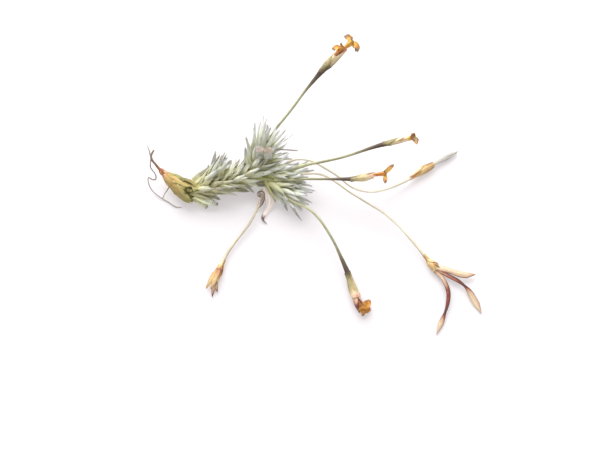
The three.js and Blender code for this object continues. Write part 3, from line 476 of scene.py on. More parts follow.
# mottle is the size of the spots and how far they change the tint. streaks are how many there are
# across a piece and how often they break along it. relief is their depth.
PLAIN_MATERIALS = {
    "leaf_dry": {
        "name": "dry_leaf", "mottle": (0.8, 0.14), "streaks": (7.0, 2.0), "relief": 0.05, "roughness": 0.7,
        "colours": [(0.0, (206, 190, 166)), (0.4, (226, 212, 198)), (0.75, (246, 236, 230)),
                    (1.0, (112, 90, 82))],
    },
    "old_base": {
        "name": "old_sheath", "mottle": (1.3, 0.34), "streaks": (6.0, 1.5), "relief": 0.09,
        "roughness": 0.65,
        "colours": [(0.0, (158, 92, 62)), (0.12, (224, 178, 142)), (0.32, (190, 152, 92)),
                    (0.52, (178, 162, 100)), (0.78, (160, 160, 96)), (1.0, (72, 54, 32))],
    },
    "root": {
        "name": "root", "mottle": (0.5, 0.2), "streaks": (3.0, 18.0), "relief": 0.06, "roughness": 0.8,
        "colours": [(0.0, (196, 136, 96)), (0.45, (134, 102, 82)), (0.8, (152, 141, 134)),
                    (1.0, (190, 184, 178))],
    },
    "stalk_green": {
        "name": "green_stalk", "mottle": (0.9, 0.15), "streaks": (3.0, 9.0), "relief": 0.03,
        "roughness": 0.55,
        "colours": [(0.0, (196, 198, 158)), (0.35, (158, 158, 122)), (0.7, (104, 94, 72)),
                    (1.0, (76, 60, 56))],
    },
    "stalk_dry": {
        "name": "dry_stalk", "mottle": (0.9, 0.2), "streaks": (3.0, 9.0), "relief": 0.03, "roughness": 0.65,
        "colours": [(0.0, (232, 226, 208)), (0.4, (212, 204, 180)), (1.0, (170, 152, 124))],
    },
    "bract_fresh": {
        "name": "fresh_bract", "mottle": (0.9, 0.2), "streaks": (9.0, 1.2), "relief": 0.05, "roughness": 0.5,
        "colours": [(0.0, (96, 82, 58)), (0.2, (152, 142, 98)), (0.45, (206, 190, 146)),
                    (0.65, (224, 204, 170)), (0.82, (220, 176, 152)), (0.92, (176, 112, 92)),
                    (1.0, (108, 66, 62))],
    },
    "bract_dry": {
        "name": "dry_bract", "mottle": (0.7, 0.3), "streaks": (9.0, 1.5), "relief": 0.06, "roughness": 0.6,
        "colours": [(0.0, (236, 224, 196)), (0.25, (220, 196, 142)), (0.5, (204, 164, 108)),
                    (0.7, (192, 134, 96)), (0.85, (152, 106, 78)), (1.0, (92, 68, 56))],
    },
    "petal": {
        "name": "petal", "mottle": (0.5, 0.2), "streaks": (6.0, 1.5), "relief": 0.03, "roughness": 0.45,
        "colours": [(0.0, (228, 200, 162)), (0.14, (226, 190, 98)), (0.3, (216, 166, 74)),
                    (0.5, (206, 132, 62)), (0.75, (146, 114, 70)), (1.0, (96, 90, 76))],
    },
    "capsule": {
        "name": "capsule", "mottle": (0.6, 0.14), "streaks": (7.0, 2.0), "relief": 0.04, "roughness": 0.5,
        "colours": [(0.0, (230, 212, 182)), (0.25, (210, 186, 156)), (0.5, (192, 158, 128)),
                    (0.75, (136, 60, 38)), (1.0, (78, 60, 56))],
    },
    "seed_plume": {
        "name": "seed_hair", "mottle": (0.6, 0.1), "streaks": (2.0, 2.0), "relief": 0.01, "roughness": 0.8,
        "colours": [(0.0, (236, 234, 226)), (0.8, (214, 214, 206)), (1.0, (96, 90, 78))],
    },
}

# What stands round the plant. Places and sizes are in metres, and the floor's grain and relief in
# millimetres.
FLOOR = {"half_width": 3.0, "colours": [(0.0, (176, 174, 176)), (1.0, (184, 182, 184))], "grain": 40.0,
         "relief": 0.01, "roughness": 0.9, "glow": 0.36, "glow_colour": (1, 0.955, 0.965, 1)}
LIGHTS = [
    {"name": "key", "place": (-0.1, 0.5, 0.44), "size": 0.82, "power": 9.6},
    {"name": "fill", "place": (0.3, -0.3, 0.6), "size": 0.6, "power": 0.8},
]
LIGHT_AIM = (0.005, -0.003, 0.0)
SKY = {"colour": (1, 0.965, 0.975, 1), "strength": 0.66}

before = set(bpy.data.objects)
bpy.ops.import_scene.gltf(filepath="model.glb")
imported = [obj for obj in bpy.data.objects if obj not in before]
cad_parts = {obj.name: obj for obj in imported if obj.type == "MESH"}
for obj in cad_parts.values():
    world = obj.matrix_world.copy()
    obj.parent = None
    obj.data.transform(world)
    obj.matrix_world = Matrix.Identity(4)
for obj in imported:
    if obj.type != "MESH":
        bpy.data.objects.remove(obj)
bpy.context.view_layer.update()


def mix(a, b, share):
    return a + (b - a) * share


def unit(vectors):
    return vectors / np.linalg.norm(vectors, axis=-1, keepdims=True)


def profile(values):
    """Value between equally spaced stations, by straight lines."""
    stations = np.linspace(0, 1, len(values))
    return lambda share: np.interp(share, stations, values)


class Draws:
    """Repeatable draws, in the order in which the solids are placed."""

    FACTOR = 48271
    RANGE = 2147483647

    def __init__(self, seed):
        self.state = seed

    def __call__(self, lowest, highest):
        self.state = self.state * self.FACTOR % self.RANGE
        return mix(lowest, highest, self.state / self.RANGE)


class Line:
    """A smooth line through points, read at shares of its length."""

    def __init__(self, points):
        points = np.array(points, float)
        self.ends = np.vstack([2 * points[0] - points[1], points, 2 * points[-1] - points[-2]])
        self.times = np.linspace(0, 1, LINE_POINTS)
        steps = np.diff(self.through(self.times), axis=0)
        self.lengths = np.concatenate([[0], np.cumsum(np.linalg.norm(steps, axis=1))])

    def through(self, times):
        spans = len(self.ends) - 3
        span = np.minimum((times * spans).astype(int), spans - 1)
        t = (times * spans - span)[:, None]
        p0, p1, p2, p3 = (self.ends[span + k] for k in range(4))
        d0, d1, d2 = (np.sqrt(np.linalg.norm(b - a, axis=1))[:, None]
                      for a, b in ((p0, p1), (p1, p2), (p2, p3)))
        s1 = ((p1 - p0) / d0 - (p2 - p0) / (d0 + d1) + (p2 - p1) / d1) * d1
        s2 = ((p2 - p1) / d1 - (p3 - p1) / (d1 + d2) + (p3 - p2) / d2) * d1
        return (p1 + s1 * t + (3 * (p2 - p1) - 2 * s1 - s2) * t ** 2
                + (2 * (p1 - p2) + s1 + s2) * t ** 3)

    def __call__(self, shares):
        shares = np.clip(np.atleast_1d(shares), 0, 1)
        return self.through(np.interp(shares * self.lengths[-1], self.lengths, self.times))


def tangents(at, shares):
    shares = np.atleast_1d(shares)
    ahead = at(np.minimum(shares + TANGENT_REACH, 1))
    return unit(ahead - at(np.maximum(shares - TANGENT_REACH, 0)))


def directions_at(at, share, azimuth):
    """Along a stem at a place on it, away from it at an azimuth, and round it."""
    forward = tangents(at, share)[0]
    level = unit(np.cross(forward, UP))
    above = np.cross(level, forward)
    outward = level * math.cos(azimuth) + above * math.sin(azimuth)
    return forward, outward, np.cross(forward, outward)


def turning_line(base, forward, outward, length, start, end):
    """A line from base that turns evenly from one angle to another, towards outward."""
    def at(shares):
        half_turn = (end - start) * shares / 2
        heading = start + half_turn
        reach = shares * length * np.sinc(half_turn / math.pi)
        return (base + forward * (reach * np.cos(heading))[:, None]
                + outward * (reach * np.sin(heading))[:, None])
    return at


class Frames:
    """The middle of a line, the way across it and the way out of it, at any share of its length."""

    def __init__(self, at, side=None, twist=0.0, twist_by=1.0):
        self.shares = np.linspace(0, 1, FRAME_POINTS)
        middle = at(self.shares)
        along = tangents(at, self.shares)
        across = np.empty_like(middle)
        direction = np.cross(along[0], UP) if side is None else side
        for row, ahead in enumerate(along):
            direction = unit(direction - ahead * direction.dot(ahead))
            across[row] = direction
        outward = np.cross(across, along)
        turn = (twist * np.minimum(1, self.shares / twist_by))[:, None]
        self.parts = (middle, across * np.cos(turn) + outward * np.sin(turn),
                      outward * np.cos(turn) - across * np.sin(turn))

    def shift(self, by):
        """Moves the middle, by one step for each of the line's shares."""
        middle, across, outward = self.parts
        self.parts = (middle + by, across, outward)

    def __call__(self, share):
        return [np.stack([np.interp(share, self.shares, part[:, k]) for k in range(3)], -1)
                for part in self.parts]


def ring_of(columns):
    """Places round a flat section: from -1 to 1 on its outer side and back on its inner one."""
    way = np.linspace(-1, 1, columns)
    side = np.ones(columns)
    return np.concatenate([way, way[::-1]]), np.concatenate([side, -side])


def level_across(line):
    """Level and square to the start of a line."""
    return np.cross(UP, tangents(line, 0)[0])


class Skin:
    """Points in rings, the faces that close them, and each point's share along, place across and side."""

    def __init__(self, grid, faces, along, across, side):
        self.grid, self.faces, self.along = grid, faces, along
        self.across, self.side = across, side


def skin(frames, share, lateral, depth, places, side):
    """A closed skin whose rings, one a row, run along the outer side and back on the inner one."""
    middle, across, outward = frames(share)
    grid = middle + across * lateral[..., None] + outward * depth[..., None]
    grid[..., 2] = np.maximum(grid[..., 2], FLOOR_GAP)
    rows, ring = lateral.shape
    index = np.arange(rows * ring).reshape(rows, ring)
    beside = np.roll(index, -1, axis=1)
    sides = np.stack([index[:-1], beside[:-1], beside[1:], index[1:]], -1).reshape(-1, 4)
    near = np.arange(ring // 2 - 1)
    cap = np.stack([near, near + 1, ring - 2 - near, ring - 1 - near], -1)
    faces = np.vstack([sides, cap[:, ::-1], cap + (rows - 1) * ring])
    corners = grid.reshape(-1, 3)[faces]
    one, two, three, four = (corners[:, k] for k in range(4))
    volume = (np.cross(one, two) * three).sum() + (np.cross(one, three) * four).sum()
    outwards = faces if volume > 0 else faces[:, ::-1]
    return Skin(grid, outwards, share, np.broadcast_to(places, share.shape), side)


VALUES = ("tint", "tone", "age", "shade", "green", "along", "across")
SHARP_EDGE = 50 * DEGREE


class Piece:
    """Closed skins that are shown as one object and take the place of a node."""

    def __init__(self, name, material, slot, node=None):
        self.name, self.material, self.slot, self.node = name, material, slot, node
        self.points, self.faces, self.count = [], [], 0
        self.values = {value: [] for value in VALUES}

    def add(self, added, **values):
        """Values are one for the whole skin that is added, or one for each of its points."""
        values = {"along": added.along, "across": added.across, **values}
        shape = added.grid.shape[:-1]
        self.points.append(added.grid.reshape(-1, 3))
        self.faces.append(added.faces + self.count)
        self.count += len(self.points[-1])
        for name in VALUES:
            self.values[name].append(np.broadcast_to(values.get(name, 0.0), shape).reshape(-1))

    def make(self):
        mesh = bpy.data.meshes.new(self.name)
        points = np.concatenate(self.points) * MM
        points[:, 2] = np.maximum(points[:, 2], 0)
        faces = [face for faces in self.faces for face in faces.tolist()]
        mesh.from_pydata(points.tolist(), [], faces)
        for name, values in self.values.items():
            attribute = mesh.attributes.new(name, "FLOAT", "POINT")
            attribute.data.foreach_set("value", np.concatenate(values).astype(np.float32))
        mesh.shade_smooth()
        mesh.set_sharp_from_angle(angle=SHARP_EDGE)
        mesh.materials.append(self.material)
        made = bpy.data.objects.new(self.name, mesh)
        bpy.context.scene.collection.objects.link(made)
        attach(made, "root")
        if self.node:
            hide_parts(self.node)


class Nodes:
    """Short calls for the nodes of one material."""

    def __init__(self, name):
        self.material = bpy.data.materials.new(name)
        self.material.use_nodes = True
        self.tree = self.material.node_tree
        self.tree.nodes.clear()
        self.place = self.node("ShaderNodeTexCoord").outputs["Object"]

    def node(self, kind, inputs=(), **settings):
        made = self.tree.nodes.new(kind)
        for name, value in settings.items():
            setattr(made, name, value)
        for name, value in dict(inputs).items():
            if isinstance(value, bpy.types.NodeSocket):
                self.tree.links.new(value, made.inputs[name])
            else:
                made.inputs[name].default_value = value
        return made

    def value(self, name):
        return self.node("ShaderNodeAttribute", attribute_name=name).outputs["Fac"]

    def math(self, operation, a, b):
        return self.node("ShaderNodeMath", {0: a, 1: b}, operation=operation).outputs[0]

    def sum(self, a, b):
        return self.math("ADD", a, b)

    def product(self, a, b):
        return self.math("MULTIPLY", a, b)

    def rest_of(self, value):
        """What is left of one when a value is taken away."""
        return self.math("SUBTRACT", 1.0, value)

    def noise(self, size, detail=3.0, vector=None):
        """Noise whose features are about size millimetres across, between 0 and 1."""
        inputs = {"Scale": 1 / (size * MM) if vector is None else 1.0, "Detail": detail,
                  "Vector": self.place if vector is None else vector}
        return self.node("ShaderNodeTexNoise", inputs).outputs["Fac"]

    def streaks(self, across, along):
        """Noise drawn out lengthwise: so many streaks across the width, and breaks along it."""
        inputs = {"X": self.product(self.value("across"), across),
                  "Y": self.product(self.value("along"), along),
                  "Z": self.product(self.value("tone"), STREAKS_APART)}
        vector = self.node("ShaderNodeCombineXYZ", inputs).outputs[0]
        return self.noise(1.0, 2.0, vector)

    def limited(self, value):
        return self.node("ShaderNodeClamp", {"Value": value}).outputs[0]

    def mottled(self, name, size, amount, detail=3.0):
        """A value of the mesh with spots about size millimetres across that change it by amount."""
        spots = self.math("SUBTRACT", self.noise(size, detail), 0.5)
        return self.sum(self.value(name), self.product(spots, 2 * amount))

    def ramp(self, value, colours):
        made = self.node("ShaderNodeValToRGB", {"Fac": value})
        stops = made.color_ramp.elements
        while len(stops) < len(colours):
            stops.new(0.5)
        for stop, (position, colour) in zip(stops, colours):
            stop.position = position
            stop.color = linear(colour)
        return made.outputs["Color"]

    def blend(self, factor, a, b, kind="MIX"):
        made = self.node("ShaderNodeMix", data_type="RGBA", blend_type=kind)
        for socket, value in ((0, factor), (6, a), (7, b)):
            if isinstance(value, bpy.types.NodeSocket):
                self.tree.links.new(value, made.inputs[socket])
            else:
                made.inputs[socket].default_value = value
        return made.outputs[2]

    def lightened(self, colour, darkest, by_tone):
        """A colour made as light as the skin's own tone says."""
        tone = self.sum(darkest, self.product(self.value("tone"), by_tone))
        return self.node("ShaderNodeHueSaturation", {"Value": tone, "Color": colour}).outputs[0]

    def bump(self, height, depth):
        """A normal for relief about depth millimetres deep."""
        inputs = {"Height": height, "Distance": depth * MM, "Strength": 1.0}
        return self.node("ShaderNodeBump", inputs).outputs["Normal"]

    def finish(self, colour, roughness, normal, **fixed):
        inputs = {"Base Color": colour, "Roughness": roughness, "Normal": normal}
        shader = self.node("ShaderNodeBsdfPrincipled", inputs)
        for name, value in fixed.items():
            shader.inputs[name.replace("_", " ")].default_value = value
        self.node("ShaderNodeOutputMaterial", {"Surface": shader.outputs[0]})
        return self.material


def linear(colour):
    """Scene-linear colour of a display colour given as three values from 0 to 255."""
    shares = [value / 255 for value in colour]
    return [s / 12.92 if s <= 0.04045 else ((s + 0.055) / 1.055) ** 2.4 for s in shares] + [1.0]


def leaf_material(name, silver):
    """Grey-green leaf under silvery scales, olive where it is old, with painted shade where others crowd it.
    """
    nodes = Nodes(name)
    tint = nodes.mottled("tint", *LEAF_LOOK["mottle"])
    young = nodes.ramp(tint, LEAF_COLOURS["young"])
    old = nodes.ramp(tint, LEAF_COLOURS["old"])
    age = nodes.mottled("age", *LEAF_LOOK["ages"])
    colour = nodes.blend(nodes.limited(age), old, young)
    green = nodes.ramp(tint, LEAF_COLOURS["green"])
    colour = nodes.blend(nodes.value("green"), colour, green)
    streak = nodes.streaks(*LEAF_LOOK["streaks"])
    less = nodes.product(nodes.limited(age), LEAF_LOOK["less_when_young"])
    depth = nodes.math("SUBTRACT", LEAF_LOOK["streaked_when_old"], less)
    colour = nodes.blend(nodes.product(streak, depth), colour, linear(LEAF_COLOURS["streak"]))
    none, all_of_it = LEAF_LOOK["frost_between"]
    frost = nodes.ramp(nodes.noise(LEAF_LOOK["frost_size"], 2.0), [(none, BLACK), (all_of_it, WHITE)])
    # Frost shows less under painted shade, on green leaves and on old ones.
    frost_shown = nodes.rest_of(nodes.value("shade"))
    frost_shown = nodes.product(frost_shown, nodes.rest_of(nodes.value("green")))
    fresh = nodes.sum(0.5, nodes.product(nodes.limited(age), 0.5))
    frost_shown = nodes.product(frost_shown, fresh)
    frost = nodes.product(frost, nodes.product(frost_shown, silver))
    colour = nodes.blend(frost, colour, linear(LEAF_COLOURS["frost"]))
    # Painted shade: olive multiplied in where other leaves crowd.
    shade = nodes.product(nodes.value("shade"), LEAF_LOOK["shaded"])
    colour = nodes.blend(shade, colour, linear(LEAF_COLOURS["shade"]), "MULTIPLY")
    colour = nodes.lightened(colour, LEAF_LOOK["darkest"], LEAF_LOOK["by_tone"])
    pits = nodes.product(nodes.noise(LEAF_LOOK["pit_size"], 2.0), LEAF_LOOK["pits"])
    relief = nodes.bump(nodes.sum(streak, pits), LEAF_LOOK["relief"])
    return nodes.finish(colour, LEAF_LOOK["roughness"], relief, Sheen_Weight=0.25,
                        Sheen_Roughness=0.5, Specular_IOR_Level=0.35)


def plain_material(name, colours, mottle, streaks, relief, roughness):
    """Colours along a piece's tint, mottled, with streaks that run along it."""
    nodes = Nodes(name)
    colour = nodes.ramp(nodes.mottled("tint", *mottle, detail=4.0), colours)
    streak = nodes.streaks(*streaks)
    shade = nodes.ramp(streak, [(0.3, STREAK_SHADE), (0.6, WHITE)])
    colour = nodes.blend(0.55, colour, shade, "MULTIPLY")
    colour = nodes.lightened(colour, 0.85, 0.3)
    height = nodes.sum(streak, nodes.product(nodes.noise(0.2, 3.0), 0.5))
    rough = nodes.sum(roughness - 0.1, nodes.product(nodes.noise(0.5), 0.2))
    return nodes.finish(colour, rough, nodes.bump(height, relief), Specular_IOR_Level=0.4)


MATERIALS = {
    "leaf": leaf_material("leaf", SILVER["leaf"]),
    "scale": leaf_material("leaf_scale", SILVER["scale"]),
}
for material_kind, material_spec in PLAIN_MATERIALS.items():
    MATERIALS[material_kind] = plain_material(**material_spec)

STALK_COURSES = [Line(stalk["line"])(np.linspace(0, 1, STALK_POINTS)) for stalk in STALKS]


def clear_of_stalks(points, shares):
    """A leaf keeps to the side of a stalk on which it first comes near it, from its first third on."""
    strength = np.minimum(1, shares * 3)
    for course in STALK_COURSES:
        apart = points[:, None] - course
        distance = np.linalg.norm(apart, axis=2)
        nearest = distance.argmin(1)
        if distance.min() > STALK_CLEAR:
            continue
        apart = apart[np.arange(len(points)), nearest]
        first = (distance.min(1) < STALK_CLEAR).argmax()
        side = unit(apart[first])
        ahead = apart @ side
        beside = np.linalg.norm(apart - ahead[:, None] * side, axis=1)
        needed = np.sqrt(np.maximum(STALK_CLEAR ** 2 - beside ** 2, 0))
        passing = np.clip((STALK_PASSED - beside) / (STALK_PASSED - STALK_CLEAR), 0, 1)
        push = np.maximum(needed - ahead, 0) * passing * strength
        push[:first] = 0
        points = points + side * push[:, None]
    return points


def lying_height(z):
    """Heights under that of the surface the plant lies on are raised to it, and softly near it."""
    return REST_HEIGHT + REST_SOFTNESS * np.logaddexp(0, (z - REST_HEIGHT) / REST_SOFTNESS)


def leaves_of(shoot, count, seed, reach=1.0):
    """The leaves of a shoot stand in a spiral, each turned by the golden angle from the last."""
    draw = Draws(seed)
    axis = Line(shoot["line"])
    for index in range(count):
        age = (index + 0.5) / count
        place = mix(shoot["first"], 1, age)
        azimuth = index * GOLDEN_ANGLE + draw(0, 0.5)
        forward, outward, across = directions_at(axis, place, azimuth)
        favoured = 1 + outward.dot(shoot["favour"])
        spread = mix(shoot["foot"], shoot["crown"], age) * DEGREE * favoured * draw(0.85, 1.15)
        spread *= mix(shoot["drawn_in"], 1, min(1, 4 * age))
        length = mix(shoot["length"], shoot["crown_length"], age) * draw(0.88, 1.12) * reach
        end_spread = spread * draw(0.5, 1.2)
        sway = draw(-0.8, 0.8)
        base = (axis(place)[0] + outward * shoot["stem"] * LEAF["rooted"]
                - forward * LEAF["set_back"])
        line = turning_line(base, forward, outward, length, spread * LEAF["foot_spread"], end_spread)

        def at(shares, line=line, across=across, sway=sway):
            points = line(shares) + across * (sway * shares ** 2)[:, None]
            points[:, 2] = lying_height(points[:, 2])
            return clear_of_stalks(points, shares)

        yield {"at": at, "side": across, "age": age}


def single_leaves(name):
    """The leaves of a shoot that are placed one by one."""
    for points in REST_LEAVES.get(name, []):
        yield {"line": points, "age": REST_LEAF_AGE}
    for points, broad, age, dark in FREE_LEAVES.get(name, []):
        yield {"line": points, "broad": broad, "age": age, "dark": dark}
    yield from BROKEN_LEAVES.get(name, [])


def leaf_skin(leaf, rng, left):
    """A channelled, keeled leaf that tapers to a fine tip, or ends bluntly where it is cut off."""
    u, side = ring_of(LEAF["columns"])
    rows = 1 - (1 - np.linspace(0, 1, LEAF["rows"])) ** LEAF["rows_to_tip"]
    share = np.broadcast_to((rows * left)[:, None], (len(rows), len(u)))
    bend = rng.uniform(-LEAF["bend"], LEAF["bend"], 2)
    frames = Frames(leaf["at"], leaf["side"], rng.uniform(-LEAF["twist"], LEAF["twist"]))
    _, across, outward = frames.parts
    frames.shift((across * bend[0] + outward * bend[1]) * (frames.shares ** 2.5)[:, None])
    half_width = LEAF["half_width"] * leaf.get("broad", 1.0)
    half = np.maximum(half_width * (1 - share) ** LEAF["narrowing"], LEAF["tip"])
    half = half * (1 + LEAF["waves"] * np.sin(share * 14 + rng.uniform(0, 6)))
    keel = np.minimum(LEAF["keel"] * (1 - share ** 3), 0.6 * half)
    flat = 1 - u ** 2
    outer = keel * (1 - np.abs(u) ** 1.7) + LEAF["rim"]
    inner = np.minimum(LEAF["face"], 0.35 * half) * flat * (1 - 1.4 * flat ** 2) + LEAF["rim"]
    lateral = half * u
    depth = np.where(side > 0, outer, -inner) - LEAF["cup"] * lateral ** 2
    return skin(frames, share, lateral, depth, u, side)


def scales_on(leaf, rng):
    """Silvery scales on a leaf's skin, flat closed slivers with a lifted edge, and where they are."""
    grid, share = leaf.grid, leaf.along
    count = SCALE["count"]
    rows, ring = share.shape[0] - 1, share.shape[1]
    reach = 1 - (1 - rng.random(count)) ** SCALE["towards_tip"]
    row = np.clip(np.interp(reach, share[:, 0], np.arange(rows + 1)), 0, rows - 1e-3)
    column = rng.random(count) * ring
    r, c = row.astype(int), column.astype(int)
    fr, fc = (row - r)[:, None], (column - c)[:, None]
    near, far = grid[r, c % ring], grid[r, (c + 1) % ring]
    near_on, far_on = grid[r + 1, c % ring], grid[r + 1, (c + 1) % ring]
    place = mix(mix(near, far, fc), mix(near_on, far_on, fc), fr)
    ahead = unit(mix(near_on - near, far_on - far, fc) + 1e-9)
    normal = unit(np.cross(far - near + 1e-9, ahead))
    centre = grid[r].mean(1)
    normal *= np.sign(((place - centre) * normal).sum(1, keepdims=True) + 1e-12)
    beside = np.cross(normal, ahead)
    swing = rng.uniform(-SCALE["swing"], SCALE["swing"], (count, 1))
    along = ahead * np.cos(swing) + beside * np.sin(swing)
    across = beside * np.cos(swing) - ahead * np.sin(swing)
    size = rng.uniform(*SCALE["sizes"], (count, 1))
    halfway = along * (SCALE["length"] / 2) * size
    aside = across * SCALE["half_width"] * size
    raised = normal * (SCALE["rise"] / 2)
    foot = place - normal * SCALE["sunk"]
    left = place + halfway - aside + raised
    right = place + halfway + aside + raised
    lift = SCALE["rise"] + SCALE["rise"] * rng.random((count, 1))
    tip = place + along * SCALE["length"] * size + normal * lift
    points = np.stack([foot, left, right, tip], 1)
    first = np.arange(count)[:, None] * 4
    faces = np.concatenate([first + order for order in ([0, 1, 2], [0, 3, 1], [1, 3, 2], [2, 3, 0])])
    return Skin(points, faces, np.repeat(share[r, 0][:, None], 4, 1), 0.0, 1.0), (r, c % ring)


def rod(points, radii, sides, step, ribs=(0, 0.0), rough=0.0, rng=None):
    """A round rod along points, with ribs and a little unevenness."""
    line = Line(points)
    rows = max(4, int(line.lengths[-1] / step))
    share = np.linspace(0, 1, rows + 1)[:, None]
    angle = np.linspace(0, 2 * math.pi, sides, endpoint=False)[None, :]
    count, height = ribs
    radius = profile(radii)(share) * (1 + height * np.cos(count * angle))
    if rough:
        radius = radius * (1 + rough * rng.uniform(-1, 1, (rows + 1, 1)) * np.ones_like(angle))
    share = np.broadcast_to(share, radius.shape)
    return skin(Frames(line), share, radius * np.sin(angle), radius * np.cos(angle),
                angle / math.pi - 1, 1.0)


def blade(frames, half_widths, thickness, cup, rng, rows=22, columns=9, ruffle=0.0, ragged=0.0,
          nerves=0, nerve=0.0):
    """A thin sheet along a line, with ruffled or torn edges and raised nerves along it."""
    u, side = ring_of(columns)
    reach = 1 - ragged * np.interp(u, np.linspace(-1, 1, 7), rng.random(7))
    share = np.linspace(0, 1, rows)[:, None] * reach
    waves = np.sin(share * rng.uniform(9, 14) + rng.uniform(0, 6) + 1.5 * np.sign(u))
    half = profile(half_widths)(share) * (1 + EDGE_WAVES * waves)
    lateral = half * u
    depth = side * thickness / 2 * np.clip(3 * (1 - np.abs(u)) + 0.4, 0, 1)
    depth = depth - cup * lateral ** 2 + ruffle * waves * u ** 2
    if nerves:
        depth = depth + side * nerve * np.maximum(0, np.cos(u * nerves * math.pi)) ** 2
    return skin(frames, share, lateral, depth, u, side)


def rolled_sheet(frames, radii, turn, extent, rng, thickness=0.1, nerves=5, foot=0.0, reach=1.0,
                 overlap=0.09, drawn_in=0.45, ragged=0.0, rows=30, columns=25):
    """A sheet rolled round a line and drawn in to a point over the last part of its length."""
    u, side = ring_of(columns)
    torn = 1 - ragged * np.interp(u, np.linspace(-1, 1, 9), rng.random(9))
    share = foot + (reach - foot) * np.linspace(0, 1, rows)[:, None] * torn
    place = (share - foot) / (reach - foot)
    narrowing = np.clip((1 - place) / max(drawn_in, 1e-6), 0.02, 1) ** 0.7 if drawn_in else 1.0
    angle = turn + u * extent * narrowing
    ridge = np.maximum(0, np.cos(u * nerves * math.pi)) ** 3
    radius = (profile(radii)(share) + overlap * u + side * thickness / 2 + ROLL_NERVES * ridge
              + ROLL_WAVES * np.sin(share * 11 + rng.uniform(0, 6)) * u)
    return skin(frames, share, radius * np.sin(angle), radius * np.cos(angle), u, side)


class Crowding:
    """How much leaf there is about a place, from none to all of it."""

    CELL = 0.5
    MARGIN = 3

    def __init__(self, points):
        self.low = points.min(0) - self.MARGIN
        size = np.ceil((points.max(0) + self.MARGIN - self.low) / self.CELL).astype(int)
        cells = np.zeros(size)
        cells[tuple(((points - self.low) / self.CELL).astype(int).T)] = 1
        for _ in range(2):
            for axis in range(3):
                cells = (np.roll(cells, 1, axis) + cells + np.roll(cells, -1, axis)) / 3
        self.cells = cells

    def __call__(self, places):
        index = ((places - self.low) / self.CELL).astype(int)
        index = np.clip(index, 0, np.array(self.cells.shape) - 1)
        return self.cells[tuple(np.moveaxis(index, -1, 0))]


def grow_leafy_shoot(name, shoot):
    """The skins of a shoot's leaves, each with its own values, and the draws that follow them."""
    rng = np.random.default_rng(shoot["seed"])
    leaves = list(leaves_of(shoot, shoot["leaves"], shoot["seed"]))
    leaves += leaves_of(shoot, shoot["between"], shoot["seed"] + BETWEEN_SEED, shoot["between_reach"])
    for leaf in single_leaves(name):
        line = Line(leaf["line"])
        leaves.append({**leaf, "at": line, "side": level_across(line)})
    grown = []
    for leaf in leaves:
        left = leaf.get("left", rng.uniform(*shoot["left"]) if "left" in shoot else 1.0)
        grown_skin = leaf_skin(leaf, rng, left)
        apart = np.linalg.norm(grown_skin.grid[:, 3].mean(0) - np.array(GREEN_LEAVES["middle"]))
        green = np.clip(GREEN_LEAVES["most"] - apart / GREEN_LEAVES["reach"], 0, 1)
        green *= rng.uniform(*GREEN_LEAVES["strength"])
        tint = grown_skin.along * (1 + leaf.get("dark", 0.0))
        if left < 1:
            tint = np.where(grown_skin.along > CUT_END["from"] * left, CUT_END["tint"], tint)
        tone = leaf.get("tone", rng.uniform(*shoot["tone"]))
        age = mix(shoot["youth"], 1.0, leaf["age"]) + rng.uniform(-AGES_APART, AGES_APART)
        grown.append((grown_skin, tint, {"tone": tone, "green": green, "age": age}))
    return grown, rng


def make_leafy_shoot(name, shoot, grown, rng, crowding):
    piece = Piece(name + "_leaves", MATERIALS["leaf"], "leaf", name)
    scales = Piece(name + "_scales", MATERIALS["scale"], "leaf")
    stem = [shoot["stem"] * share * STEM_INSIDE for share in STEM_TAPER]
    # The stem inside the leaves gets full painted shade.
    piece.add(rod(shoot["line"], stem, sides=12, step=0.8), tint=0.1, age=0.1, shade=1.0)
    for leaf, tint, values in grown:
        # Painted shade from how much leaf there is just outside each point.
        out = unit(leaf.grid - leaf.grid.mean(1, keepdims=True))
        shade = CROWD_SHADE["strength"] * crowding(leaf.grid + out * CROWD_SHADE["off"]) - CROWD_SHADE["least"]
        shade = np.clip(shade, 0, 1)
        piece.add(leaf, tint=tint, shade=shade, **values)
        # The scales take the painted shade of the leaf under them.
        slivers, places = scales_on(leaf, rng)
        scales.add(slivers, tint=slivers.along, shade=np.repeat(shade[places][:, None], 4, 1), **values)
    piece.make()
    scales.make()


def add_sheaths(piece, axis, radius, rng):
    """Broad, ragged dried sheaths in a spiral round the old base, greener towards the leaves."""
    draw = Draws(OLD_BASE["seed"])
    widest = max(OLD_BASE["radii"])
    for index in range(OLD_BASE["sheaths"]):
        place = mix(OLD_BASE["first_sheath"], OLD_BASE["last_sheath"], index / (OLD_BASE["sheaths"] - 1))
        azimuth = index * GOLDEN_ANGLE + draw(0, 0.6)
        forward, outward, across = directions_at(axis, place, azimuth)
        scale = radius(place) / widest
        length = SHEATH["length"] * mix(SHEATH["shortest"], 1, scale)
        base = (axis(place)[0] + outward * (radius(place) - SHEATH["sunk"])
                - forward * SHEATH["set_back"])
        line = turning_line(base, forward, outward, length, SHEATH["lift"], SHEATH["tuck"])
        half_widths = SHEATH["half_width"] * scale * np.sqrt(1 - np.linspace(0, SHEATH["tapered"], 12))
        sheath = blade(
            Frames(line, across), half_widths, SHEATH["thickness"], SHEATH["cup"] / scale, rng,
            rows=26, columns=15, ruffle=0.12, ragged=0.25, nerves=5, nerve=0.05)
        rim = np.abs(sheath.across) ** 3
        tint = (place * SHEATH_TINT["place"] + sheath.along * SHEATH_TINT["along"]
                + SHEATH_TINT["rim"] * rim * rng.random() + SHEATH_TINT["chance"] * rng.random()
                + SHEATH_TINT["sideways"] * place * abs(outward[1]))
        piece.add(sheath, tint=tint, tone=rng.random())


